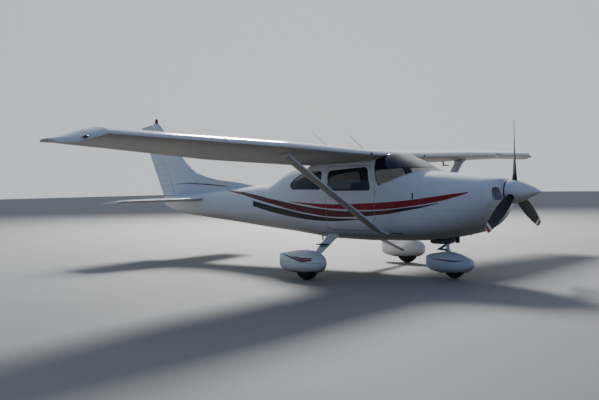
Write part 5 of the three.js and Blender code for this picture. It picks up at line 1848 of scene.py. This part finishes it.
@dataclass
class Propeller:
    """The spinner, hub and three painted blades, at rest at twelve, four and eight o'clock."""

    x: float = 4.033
    z: float = 1.278
    spinner_base: float = 3.950
    spinner_tip: float = 4.420
    spinner_radius: float = 0.168
    spinner_form: Points = (  # share of the length, share of the radius
        (0, 1), (0.18, 0.985), (0.36, 0.86), (0.54, 0.67), (0.72, 0.44), (0.89, 0.18), (1, 0))
    blade: Table = (  # radius, chord, thickness, pitch angle
        (112.4, 84, 70, 58), (190, 102, 56, 52), (300, 136, 30, 42), (480, 158, 20, 33), (700, 148, 15, 25),
        (900, 116, 11, 20), (975, 92, 8, 18), (1003, 46, 6, 17))
    # outer radius, finish
    bands_mm: tuple[tuple[float, int], ...] = ((1004, 2), (982, 3), (928, 2), (880, 0))

    def build(self) -> None:
        """Build the propeller."""
        self.spinner()
        self.hub()
        for number in (1, 2, 3):
            self.one_blade(number, (number - 1) * 2 * math.pi / 3)

    def spinner(self) -> None:
        """The spun spinner: a soft-nosed cone with a hole for each blade's root."""
        base = self.spinner_base + 0.006
        outer = smooth_table(self.spinner_form, 44)[:, ::-1] * [self.spinner_radius, self.spinner_tip - base]
        outer[-1, 0] = 0
        inner = outer[::-1] * [0.965, 0.975]
        form = turned(np.concatenate([outer, inner]), (base, 0, self.z), "x", 96)
        shell = mesh_object("spinner_shell", *form, "propeller", [WHITE, DARK], 50)
        tools = []
        for turn in np.arange(3) * 2 * np.pi / 3:
            way = np.array([0, math.sin(turn), math.cos(turn)])
            start = np.array([self.x, 0, self.z])
            tools.append(raw_object("root_hole", *tube([start + way * 0.09, start + way * 0.26], 0.052, 32)))
        cut(shell, tools)
        soften(shell, 40)
        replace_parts(shell, "spinner")
        # A near-black ring stands for the gap behind the spinner: painted shade.
        ring = turned([(0.1682, -0.007), (0.1684, 0.002), (0.160, 0.002), (0.160, -0.007), (0.1682, -0.007)],
                      (base, 0, self.z), "x", 96)
        mesh_object("spinner_gap_ring", *ring, "propeller", [DARK], 50)

    def hub(self) -> None:
        """The back plate, hub and blade sockets."""
        back = self.spinner_base
        plate = turned([(0, 0), (0.167, 0), (0.167, 0.0056), (0, 0.0056)], (back, 0, self.z), "x", 96)
        shape = [(0, 0), (0.058, 0), (0.058, 0.150), (0.046, 0.169), (0, 0.169)]
        core = turned(shape, (back, 0, self.z), "x", 48)
        shaft = tube([(3.8406, 0, self.z), (back + 0.002, 0, self.z)], 0.034, 32)
        parts = [plate, core, shaft]
        centre = np.array([self.x, 0, self.z])
        for turn in np.arange(3) * 2 * np.pi / 3:
            way = np.array([0, math.sin(turn), math.cos(turn)])
            parts.append(tube([centre, centre + way * 0.095, centre + way * 0.100, centre + way * 0.112],
                              [0.042, 0.042, 0.040, 0.038], 32))
        made = mesh_object("hub_and_plate", *together(*parts), "propeller", [BARE])
        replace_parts(made, "propeller_hub")

    def one_blade(self, number: int, turn: float) -> None:
        """One blade: thin twisted sections, dark on its face, with bands of colour at the tip.

        Args:
            number: its number.
            turn: its angle from upright.
        """
        given = smooth_table(self.blade, 120)
        edge = np.array([b[0] for b in self.bands_mm])
        radius = np.unique(np.concatenate([np.linspace(112.4, 1003, 120), edge[1:]]))
        order = np.argsort(given[:, 0])
        chord, thick, pitch = (np.interp(radius, given[order, 0], given[order, k]) for k in (1, 2, 3))
        tip = np.clip((radius - 930) / 73, 0, 1)
        chord = np.minimum(chord, 116 * np.sqrt(np.clip(1 - tip ** 2.6, 0.03, 1)))
        chord = np.where(radius < 930, np.interp(radius, given[order, 0], given[order, 1]), chord)
        t = circle(40)
        a, s = np.cos(t), np.sin(t)
        root = np.clip((300 - radius) / 150, 0, 1)[:, None]
        foil = s * (root + (1 - root) * np.sqrt(np.clip(0.60 + 0.40 * a, 0, 1)))
        u, v = chord[:, None] / 2 * a * MM, thick[:, None] / 2 * foil * MM
        lean, rise = np.cos(np.radians(pitch))[:, None], np.sin(np.radians(pitch))[:, None]
        x = u * rise + v * lean
        y = v * rise - u * lean
        z = np.broadcast_to(radius[:, None] * MM, x.shape)
        turned_y = y * math.cos(turn) + z * math.sin(turn)
        turned_z = -y * math.sin(turn) + z * math.cos(turn)
        rings = np.stack([x + self.x, turned_y, turned_z + self.z], axis=-1)
        made = mesh_object(f"blade_{number}_skin", *lofted(rings), "propeller",
                           [BLADE_BLACK, BLADE_GREY, TIP_WHITE, TIP_RED], 60)
        points = np.array([face.center for face in made.data.polygons]) - [self.x, 0, self.z]
        away = np.hypot(points[:, 1], points[:, 2]) / MM
        index = np.zeros(len(away), int)
        for outer, finish in self.bands_mm:
            index[away < outer] = finish
        made.data.polygons.foreach_set("material_index", index)
        soften(made, 60)
        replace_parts(made, f"blade_{number}")


@dataclass
class Interior:
    """Seats, instrument panel, control yokes and the glare shield."""

    plinth_foot: float = 0.5905

    def build(self) -> None:
        """Build the cabin's fittings."""
        for side in Side:
            self.front_seat(side)
            self.yoke(side)
        self.bench()
        self.panel()

    @staticmethod
    def pad(name: str, centre: Sequence[float], size: Sequence[float], lean: float, crown: float,
            power: float = 3.2) -> Piece:
        """A crowned cushion: a superellipsoid whose faces swell and whose sides draw in between corners.

        Args:
            name: the piece's name.
            centre: its middle.
            size: thickness, width and height in metres.
            lean: how far it leans back, in degrees, about y.
            crown: how much its big faces swell.
            power: squareness of its outline.

        Returns:
            The cushion.
        """
        u = np.linspace(-np.pi, np.pi, 72, endpoint=False)
        v = np.linspace(-np.pi / 2, np.pi / 2, 40)
        along, high = np.meshgrid(u, v)
        soft = 2 / power
        flat = signed(np.cos(high), soft)
        y = size[1] / 2 * flat * signed(np.sin(along), soft)
        x = size[0] / 2 * flat * signed(np.cos(along), soft)
        z = size[2] / 2 * signed(np.sin(high), soft)
        swell = np.cos(np.pi * np.clip(y / size[1], -0.5, 0.5))
        swell = swell * np.cos(np.pi * np.clip(z / size[2], -0.5, 0.5))
        channels = 1 - 0.10 * np.exp(-((np.abs(y) - size[1] * 0.31) / 0.009) ** 2)
        x = x * (1 - crown + crown * swell) * channels
        tilt = math.radians(lean)
        x, z = x * math.cos(tilt) - z * math.sin(tilt), x * math.sin(tilt) + z * math.cos(tilt)
        points = np.stack([x + centre[0], y + centre[1], z + centre[2]], axis=-1).reshape(-1, 3)
        faces = [tuple(q) for q in grid_faces(40, 72, True)]
        made = mesh_object(name, points, faces, "airframe", [CLOTH], 80)
        weld = bmesh.new()
        weld.from_mesh(made.data)
        bmesh.ops.remove_doubles(weld, verts=weld.verts, dist=1e-5)
        bmesh.ops.recalc_face_normals(weld, faces=weld.faces)
        weld.to_mesh(made.data)
        weld.free()
        soften(made, 80)
        return made

    def front_seat(self, side: Side) -> None:
        """One front seat: cushion, back and headrest on posts, on a plinth.

        Args:
            side: the side it is on.
        """
        y = side.value * 0.265
        word = side.word
        cushion = self.pad(f"seat_cushion_{word}", (1.800, y, 0.818), (0.105, 0.395, 0.385), 86, 0.25)
        back = self.pad(f"seat_back_{word}", (1.560, y, 1.070), (0.105, 0.385, 0.440), 12, 0.30)
        head = self.pad(f"seat_headrest_{word}", (1.487, y, 1.372), (0.080, 0.250, 0.125), 8, 0.25)
        for piece in (cushion, back, head):
            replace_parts(piece, f"seat_front_{word}")
        posts = [tube([(1.520, y + s * 0.05, 1.25), (1.497, y + s * 0.05, 1.335)], 0.006, 12)
                 for s in (-1, 1)]
        mesh_object(f"headrest_posts_{word}", *together(*posts), "airframe", [STEEL])
        corners = [(1.600, self.plinth_foot), (1.975, self.plinth_foot), (1.965, 0.765), (1.620, 0.765)]
        ring = outline_curve(corners, 0.03)
        block = prism(ring, 1, (y - 0.13, y + 0.13))
        plinth = mesh_object(f"seat_plinth_{word}", *block, "airframe", [SEAT_TRIM])
        bevel_edges(plinth, 0.008, 3)
        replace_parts(plinth, f"seat_front_{word}")

    def bench(self) -> None:
        """The rear bench: a cushion and a back for each place, on one plinth."""
        for side in Side:
            y = side.value * 0.208
            cushion = self.pad(f"bench_cushion_{side.word}", (0.880, y, 0.800), (0.105, 0.400, 0.350),
                               88, 0.25)
            back = self.pad(f"bench_back_{side.word}", (0.618, y, 1.070), (0.095, 0.395, 0.440), 13, 0.30)
            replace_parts(cushion, "seat_rear")
            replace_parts(back, "seat_rear")
        ring = outline_curve([(0.640, self.plinth_foot), (1.035, self.plinth_foot), (1.050, 0.745),
                              (0.660, 0.745)], 0.03)
        plinth = mesh_object("bench_plinth", *prism(ring, 1, (-0.33, 0.33)), "airframe", [SEAT_TRIM])
        bevel_edges(plinth, 0.008, 3)
        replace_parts(plinth, "seat_rear")

    @staticmethod
    def face_x(z: float) -> float:
        """Station of the panel's sloping face at a height."""
        return 2.3795 - 0.0985 * (z - 1.290)

    def panel(self) -> None:
        """The instrument panel with two rows of dials, radios, engine knobs and the glare shield."""
        ring = outline_curve([(2.395, 1.130), (2.366, 1.425), (2.400, 1.452), (2.780, 1.497), (2.780, 1.445),
                              (2.460, 1.400), (2.470, 1.130)], 0.012, 5)
        spans = np.linspace(-0.498, 0.498, 25)
        drop = 0.020 * (np.abs(spans) / 0.5) ** 3
        rows = np.stack([np.column_stack([ring[:, 0], np.full(len(ring), y),
                                          ring[:, 1] - d * (ring[:, 1] > 1.40)])
                         for y, d in zip(spans, drop)])
        face = mesh_object("panel_and_glareshield", *lofted(rows), "airframe", [BLACK_PLASTIC])
        room = raw_object("room", *BODY.form(2800, 2300, CABIN_WALL + SEAT_GAP))
        cut(face, [room], keep=True)
        soften(face, 35)
        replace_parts(face, "instrument_panel")
        rings, glasses = [], []
        for row, z in enumerate((1.345, 1.255)):
            x = self.face_x(z)
            for column in range(6 if row else 5):
                y = 0.400 - 0.088 * column
                rings.append(turned([(0.036, 0), (0.036, -0.006), (0.031, -0.009), (0.031, 0), (0.036, 0)],
                                    (x, y, z), "x", 32))
                glasses.append(turned([(0, -0.004), (0.031, -0.004), (0.031, 0), (0, 0)], (x, y, z), "x", 32))
        mesh_object("dial_rings", *together(*rings), "airframe", [DIAL_RING])
        mesh_object("dial_glasses", *together(*glasses), "airframe", [DIAL_GLASS])
        radios = []
        for z in (1.335, 1.285, 1.235, 1.185):
            x = self.face_x(z)
            ring = outline_curve([(-0.165, z - 0.021), (-0.005, z - 0.021), (-0.005, z + 0.021),
                                  (-0.165, z + 0.021)], 0.006, 4)
            radios.append(prism(ring, 0, (x - 0.008, x + 0.004)))
        mesh_object("radio_faces", *together(*radios), "airframe", [DIAL_GLASS])
        knobs = [tube([(2.385, y, 1.165), (2.335, y, 1.160)], [0.008, 0.012], 16)
                 for y in (-0.03, 0.03, 0.09)]
        mesh_object("engine_knobs", *together(*knobs), "airframe", [BLACK_PLASTIC])

    @staticmethod
    def yoke(side: Side) -> None:
        """A control yoke: a shaft out of the panel with a horned wheel.

        Args:
            side: the side it is on.
        """
        y = side.value * 0.270
        horn = [(2.262, y + s, z) for s, z in ((-0.120, 1.262), (-0.126, 1.225), (-0.085, 1.218), (0, 1.230),
                                              (0.085, 1.218), (0.126, 1.225), (0.120, 1.262))]
        parts = [tube([(2.395, y, 1.230), (2.262, y, 1.230)], 0.0145, 20),
                 tube(smooth_table(horn, 40), 0.0125, 14),
                 tube([(2.280, y, 1.230), (2.247, y, 1.230)], [0.028, 0.022], 24)]
        made = mesh_object(f"control_yoke_{side.word}", *together(*parts), "airframe", [BLACK_PLASTIC])
        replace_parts(made, "instrument_panel")


@dataclass(frozen=True)
class Stripe:
    """One painted band along the side: its upper and lower edges as x and z, and its enamel."""

    name: str
    finish: Finish
    upper: Points
    lower: Points

    def edge(self, x: Array, rows: Outline) -> Array:
        """Height of an edge at x, by a smoothed run through its points."""
        given = smooth_table(sorted(rows), 160)
        return np.interp(x, given[:, 0], given[:, 1])


@dataclass
class Markings:
    """The painted bands: thin coats of enamel over the white, split where doors and cowls part."""

    lift: float = 0.0006
    stripes: tuple[Stripe, ...] = (
        Stripe("upper_red", RED,
               ((0.285, 1.136), (0.724, 1.111), (1.077, 1.098), (1.401, 1.096), (1.864, 1.114),
                (2.301, 1.137), (2.710, 1.173), (3.088, 1.222), (3.331, 1.254), (3.564, 1.281)),
               ((0.285, 1.127), (0.724, 1.079), (1.076, 1.034), (1.399, 1.022), (1.863, 1.013),
                (2.300, 1.033), (2.709, 1.081), (3.088, 1.141), (3.332, 1.198), (3.565, 1.267))),
        Stripe("middle_maroon", MAROON,
               ((-1.637, 1.322), (-1.065, 1.290), (-0.541, 1.222), (-0.082, 1.155), (0.336, 1.098),
                (0.723, 1.046),
                (1.075, 1.015), (1.399, 0.991), (1.862, 0.991), (2.050, 0.999), (2.299, 1.018),
                (2.480, 1.039)),
               ((-1.637, 1.313), (-1.020, 1.234), (-0.527, 1.141), (-0.084, 1.065), (0.332, 0.990),
                (0.719, 0.944),
                (1.072, 0.906), (1.395, 0.896), (1.860, 0.914), (2.050, 0.932), (2.298, 0.958),
                (2.480, 0.989))),
        Stripe("front_dark", BLACK,
               ((2.480, 1.039), (2.575, 1.051), (2.838, 1.082), (3.119, 1.127)),
               ((2.480, 0.989), (2.575, 1.007), (2.837, 1.053), (3.119, 1.118))),
        Stripe("lower_black", BLACK,
               ((-0.726, 1.139), (-0.302, 1.066), (0.125, 1.003), (0.530, 0.944), (0.899, 0.902),
                (1.233, 0.877), (1.552, 0.873), (1.820, 0.869)),
               ((-0.726, 1.042), (-0.310, 0.961), (0.113, 0.900), (0.518, 0.855), (0.892, 0.830),
                (1.229, 0.826), (1.549, 0.843), (1.820, 0.864))),
    )
    marks: tuple[Stripe, ...] = (
        # The vent slot is a flat band of the unlit black: painted shade of the slot.
        Stripe("vent_slot", DARK, ((2.320, 0.670), (2.509, 0.671)), ((2.320, 0.659), (2.509, 0.660))),
        Stripe("static_plate", DARK, ((2.7045, 1.270), (2.7255, 1.270)), ((2.7045, 1.183), (2.7255, 1.183))))
    fin_line: Stripe = Stripe(
        "fin_line", MAROON,
        ((-3.301, 1.456), (-2.857, 1.474), (-2.368, 1.456), (-1.866, 1.416), (-1.702, 1.394)),
        ((-3.301, 1.452), (-2.857, 1.458), (-2.368, 1.434), (-1.866, 1.400), (-1.702, 1.390)))
    main_lines: tuple[Stripe, ...] = (
        Stripe("main_low", BLACK,
               ((0.940, 0.374), (1.053, 0.361), (1.227, 0.330), (1.347, 0.304), (1.440, 0.299),
                (1.565, 0.311), (1.589, 0.314)),
               ((0.940, 0.368), (1.053, 0.349), (1.227, 0.310), (1.347, 0.281), (1.440, 0.276),
                (1.565, 0.297), (1.589, 0.310))),
        Stripe("main_middle", RED,
               ((1.180, 0.352), (1.269, 0.341), (1.352, 0.320), (1.448, 0.316), (1.581, 0.326)),
               ((1.180, 0.348), (1.269, 0.328), (1.352, 0.307), (1.448, 0.302), (1.581, 0.316))),
        Stripe("main_top", MAROON,
               ((1.264, 0.356), (1.344, 0.340), (1.438, 0.335), (1.565, 0.341), (1.603, 0.335)),
               ((1.264, 0.348), (1.344, 0.324), (1.438, 0.319), (1.565, 0.330), (1.603, 0.331))),
    )
    seam: Stripe = Stripe("fairing_seam", LINER, ((0.890, 0.2662), (1.750, 0.2662)),
                          ((0.890, 0.2628), (1.750, 0.2628)))
    nose_line: Stripe = Stripe(
        "nose_line", MAROON,
        ((2.681, 0.286), (2.833, 0.280), (2.974, 0.275), (3.130, 0.270), (3.280, 0.279)),
        ((2.681, 0.280), (2.833, 0.268), (2.974, 0.257), (3.130, 0.250), (3.280, 0.273)))
    fields: tuple[tuple[str, float, float, str], ...] = (
        ("tail", -3.20, -0.4305, "airframe"), ("rear", -0.4295, 1.1122, "airframe"),
        ("door", 1.1195, 2.0497, "door"),
        ("front", 2.0555, 2.8195, "airframe"), ("cowl", 2.822, 3.7385, "airframe"))

    def build(self) -> None:
        """Paint both sides, the fin and the wheel fairings."""
        for side in Side:
            for stripe in self.stripes:
                for word, low, high, body in self.fields:
                    owner = f"{side.word}_door" if body == "door" else body
                    self.band(f"{stripe.name}_{word}_{side.word}", stripe, (low, high), side, owner,
                              BODY.side_y)
            for mark in self.marks:
                self.band(f"{mark.name}_{side.word}", mark, (2.3, 2.8), side, "airframe", BODY.side_y)
            self.band(f"fin_line_{side.word}", self.fin_line, (-3.30, -1.70), side, "airframe", Tail().side_y)
            wheel = MAIN_WHEELS[side]
            for stripe in (*self.main_lines, self.seam):
                self.band(f"{stripe.name}_{side.word}", stripe, (0.89, 1.75), side, "airframe", wheel.side_y,
                          wheel.axle[1])
            self.band(f"nose_line_{side.word}", self.nose_line, (2.6, 3.3), side, "nose_gear",
                      NOSE_WHEEL.side_y)

    def band(self, name: str, stripe: Stripe, span: tuple[float, float], side: Side, body: str,
             side_y: Callable[[Array, Array], Array], middle: float = 0.0) -> None:
        """One stretch of a band: a grid between its edges that lies on a skin.

        Args:
            name: the piece's name.
            stripe: the band.
            span: the stretch of x that it covers.
            side: which way it faces.
            body: what it rides on.
            side_y: half width of the skin at x and z.
            middle: y of the skin's middle plane.
        """
        ends = sorted(p[0] for p in stripe.upper)
        low, high = max(span[0], ends[0]), min(span[1], ends[-1])
        if high - low < 0.02:
            return
        x = np.linspace(low, high, max(4, int((high - low) / 0.02)))
        upper, lower = stripe.edge(x, stripe.upper), stripe.edge(x, stripe.lower)
        t = np.linspace(0, 1, 12)
        z = lower[:, None] + (np.maximum(upper - lower, 0.0005))[:, None] * t
        xs = np.broadcast_to(x[:, None], z.shape)
        y = middle + side.value * (side_y(xs, z) + self.lift)
        points = np.stack([xs, y, z], axis=-1).reshape(-1, 3)
        quads = grid_faces(len(x), len(t), False)
        faces = [tuple(q) for q in (quads if side is Side.RIGHT else quads[:, ::-1])]
        mesh_object(name, points, faces, body, [stripe.finish])


@dataclass
class Fittings:
    """The small fittings: whip antennas, lamps, vents, fuel caps, the pitot tube, stubs under the belly."""

    whips: tuple[Place, ...] = ((0.975, 0.399, 2.299), (1.516, 1.179, 2.215))  # foot x, head
    # span, half span, middle, half height
    patches: tuple[tuple[str, Finish, float, float, float, float], ...] = (
        ("landing_lamp", LAMP_CLEAR, 3.575, 0.125, -0.010, 0.013),
        # The cabin vents are flat ovals of the unlit black: painted shade of their openings.
        ("cabin_vent_left", DARK, 0.745, 0.022, -0.001, 0.0035),
        ("cabin_vent_right", DARK, -0.745, 0.022, -0.001, 0.0035))
    cap_span: float = 1.620
    cap_share: float = 0.24
    pitot_span: float = 2.250

    def build(self) -> None:
        """Build every fitting."""
        for number, (foot, head, high) in enumerate(self.whips, 1):
            self.whip(f"whip_antenna_{number}", foot, head, high)
        for name, finish, *place in self.patches:
            self.patch(name, finish, *place)
        for side in Side:
            self.tip_lamp(side)
            self.fuel_cap(side)
        self.pitot()
        self.stubs()

    @staticmethod
    def whip(name: str, foot: float, head: float, high: float) -> None:
        """A raked whip on a small round foot, on the wing's top in the middle plane.

        Args:
            name: the piece's name.
            foot: the foot's x.
            head: the tip's x.
            high: the tip's height.
        """
        share = (WING.lead_x - foot) / WING.root_chord
        low = float(WING.point(WING.root_y, share, 1)[2])
        base = turned([(0, -0.004), (0.022, -0.004), (0.020, 0.010), (0.008, 0.020), (0, 0.020)],
                      (foot, 0, low), "z", 32)
        line = np.linspace([foot, 0, low], [head, 0, high], 12)
        rod = tube(line, np.linspace(0.0055, 0.0032, 12), 12)
        mesh_object(name, *together(base, rod), "airframe", [BLACK_PLASTIC])

    @staticmethod
    def patch(name: str, finish: Finish, span: float, half: float, middle: float, high: float) -> None:
        """An oval in the leading edge: the wing's skin at span + half·r·cos t, middle + high·r·sin t.

        Args:
            name: the piece's name.
            finish: its material.
            span: its middle's y.
            half: half its width along the span.
            middle: its middle as a share of the chord, negative below.
            high: half its height as a share of the chord.
        """
        r, t = np.meshgrid(np.linspace(0.02, 1, 8), np.linspace(0, 2 * np.pi, 49)[:-1], indexing="ij")
        squarish = (np.cos(t) ** 4 + np.sin(t) ** 4) ** -0.25
        y = span + half * r * squarish * np.cos(t)
        share = middle + high * r * squarish * np.sin(t)
        points = WING.point(y, np.abs(share), np.where(share < 0, -1, 1)) + [0.0012, 0, 0]
        faces = [tuple(q)[::-1] for q in grid_faces(8, 48, True)] + [tuple(range(48))[::-1]]
        mesh_object(name, points.reshape(-1, 3), faces, "airframe", [finish], 60)

    @staticmethod
    def tip_lamp(side: Side) -> None:
        """A teardrop lens at the front of the wing's tip: red on the left, green on the right.

        Args:
            side: the side it is on.
        """
        t = np.linspace(0, np.pi, 18)
        profile = np.column_stack([0.021 * np.sin(t) ** 0.8, -0.050 * np.cos(t)])
        profile[[0, -1], 0] = 0
        lens = turned(profile, (1.930, side.value * 5.418, 1.934), "x", 32)
        mesh_object(f"tip_lamp_{side.word}", *lens, "airframe",
                    [LAMP_RED if side is Side.LEFT else LAMP_GREEN], 60)

    def fuel_cap(self, side: Side) -> None:
        """A flush fuel cap with its lift tab, on the wing's top.

        Args:
            side: the side it is on.
        """
        x, y, z = WING.point(side.value * self.cap_span, self.cap_share, 1)
        cap = turned([(0, -0.004), (0.048, -0.004), (0.046, 0.004), (0, 0.005)], (x, y, z), "z", 48)
        tab = tube([(x - 0.026, y, z + 0.006), (x + 0.026, y, z + 0.006)], 0.008, 16, 0.4)
        mesh_object(f"fuel_cap_{side.word}", *together(cap, tab), "airframe", [BARE])

    def pitot(self) -> None:
        """The pitot tube under the left wing: a swept mast and a tube that points ahead."""
        x, y, z = WING.point(self.pitot_span, 0.32, -1)
        mast = tube([(x, y, z + 0.004), (x + 0.03, y, z - 0.070)], [0.026, 0.020], 20, 0.45)
        head = tube([(x, y, z - 0.075), (x + 0.09, y, z - 0.075), (x + 0.13, y, z - 0.075)],
                    [0.011, 0.011, 0.007], 20)
        mesh_object("pitot_tube", *together(mast, head), "airframe", [DARK_STEEL])

    @staticmethod
    def stubs() -> None:
        """A stub antenna and a drain under the belly, and the ring that ties the tail down."""
        stub = tube([(0.576, 0, 0.580), (0.590, 0, 0.520), (0.590, 0, 0.466)], [0.020, 0.015, 0.012], 20)
        drain = tube([(3.367, 0, 0.670), (3.367, 0, 0.634)], 0.007, 16)
        t = np.linspace(0, 2 * np.pi, 33)
        eye = np.column_stack([-3.154 + 0.028 * np.cos(t), 0 * t, 0.862 + 0.028 * np.sin(t)])
        mesh_object("belly_stubs", *together(stub, drain), "airframe", [BLACK_PLASTIC])
        mesh_object("tie_down_ring", *tube(np.concatenate([eye, eye[1:2]]), 0.005, 12), "airframe", [STEEL])


@dataclass
class Studio:
    """The pale floor, the soft lights and the camera at the photo's angle."""

    place: Place = (8.2848, -9.4455, 1.4291)
    yaw: float = 41.0094
    pitch: float = -1.3069
    roll: float = -0.8339
    focal_px: float = 714.08
    frame_px: float = 599.0
    sensor: float = 36.0
    floor_size: float = 160.0
    lights: tuple[tuple[str, Place, Place, float, float], ...] = (
        ("key_behind_left", (-10.5, 12.5, 13.5), (0.5, 0.0, 1.2), 5.0, 8600.0),
        ("fill_ahead_right", (13.0, -9.0, 8.0), (0.5, 0.0, 1.0), 9.0, 40.0),
    )
    backdrop: Place = (-0.656, 0.755, 0.0)  # the way to the brightest part of the surroundings
    surround: tuple[tuple[float, str], ...] = ((0.0, "#57709b"), (0.45, "#6f86ac"), (0.8, "#d0d8e2"),
                                               (1.0, "#eef1f4"))
    surround_power: float = 0.85

    def build(self) -> None:
        """Set the floor, the lights, the surroundings and the camera."""
        self.ground()
        self.light()
        self.camera()

    def ground(self) -> None:
        """A wide pale floor, flat under the aircraft."""
        reach = self.floor_size / 2
        u = np.linspace(-reach, reach, 9)
        x, y = np.meshgrid(u, u, indexing="ij")
        points = np.stack([x, y, np.zeros_like(x)], axis=-1).reshape(-1, 3)
        floor = raw_object("studio_floor", points, grid_faces(9, 9, False))
        floor.data.materials.append(FLOOR.material())

    def light(self) -> None:
        """Soft area lights, and surroundings that are brightest behind the aircraft."""
        for name, place, aim, size, power in self.lights:
            lamp = bpy.data.lights.new(name, "AREA")
            lamp.shape = "DISK"
            lamp.size = size
            lamp.energy = power
            made = bpy.data.objects.new(name, lamp)
            made.location = place
            made.rotation_euler = (Vector(aim) - Vector(place)).to_track_quat("-Z", "Y").to_euler()
            bpy.context.collection.objects.link(made)
        world = bpy.data.worlds.new("studio_world")
        world.use_nodes = True
        tree = world.node_tree
        back = tree.nodes["Background"]
        way = add_node(tree, "ShaderNodeTexCoord").outputs["Generated"]
        facing = add_node(tree, "ShaderNodeVectorMath", {0: way, 1: self.backdrop}, operation="DOT_PRODUCT")
        share = add_node(tree, "ShaderNodeMapRange", {"Value": facing.outputs["Value"], "From Min": -1.0})
        ramp = add_node(tree, "ShaderNodeValToRGB", {0: share.outputs["Result"]})
        steps = ramp.color_ramp.elements
        while len(steps) < len(self.surround):
            steps.new(0.5)
        for step, (at, colour) in zip(steps, self.surround):
            step.position = at
            step.color = linear(colour)
        tree.links.new(ramp.outputs[0], back.inputs[0])
        back.inputs[1].default_value = self.surround_power
        bpy.context.scene.world = world

    def camera(self) -> None:
        """The photo's camera: yaw from +Y towards -X, pitch and a slight roll, 36 mm wide sensor."""
        yaw, pitch, roll = (math.radians(v) for v in (self.yaw, self.pitch, self.roll))
        ahead = Vector((-math.sin(yaw) * math.cos(pitch), math.cos(yaw) * math.cos(pitch), math.sin(pitch)))
        right = Vector((math.cos(yaw), math.sin(yaw), 0))
        up = right.cross(ahead)
        across = right * math.cos(roll) + up * math.sin(roll)
        above = -right * math.sin(roll) + up * math.cos(roll)
        lens = bpy.data.cameras.new("photo_camera")
        lens.sensor_fit = "HORIZONTAL"
        lens.sensor_width = self.sensor
        lens.lens = self.focal_px / self.frame_px * self.sensor
        lens.clip_end = 500
        made = bpy.data.objects.new("photo_camera", lens)
        turn = Matrix((across, above, -ahead)).transposed().to_4x4()
        made.matrix_world = Matrix.Translation(self.place) @ turn
        bpy.context.collection.objects.link(made)
        bpy.context.scene.camera = made


def dress(finishes: dict[str, Finish]) -> None:
    """Give the CAD nodes that stay their finish through their object's material slots.

    Args:
        finishes: node name to finish.
    """
    for item in bpy.data.objects:
        node = item.get("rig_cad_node")
        if node in finishes:
            for slot in item.material_slots:
                slot.link = "OBJECT"
                slot.material = finishes[node].material()


def main() -> None:
    """Load the frame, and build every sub-assembly in order."""
    logging.basicConfig(level=logging.INFO, format="%(name)s %(message)s")
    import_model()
    for group in (Studio(), Fuselage(), Doors(), Glazing(), Interior(), Wings(), Tail(), LandingGear(),
                  Propeller(), Markings(), Fittings()):
        group.build()
        LOG.info("%s built", type(group).__name__)
    dress({"engine": DARK_STEEL})


if __name__ == "__main__":
    main()
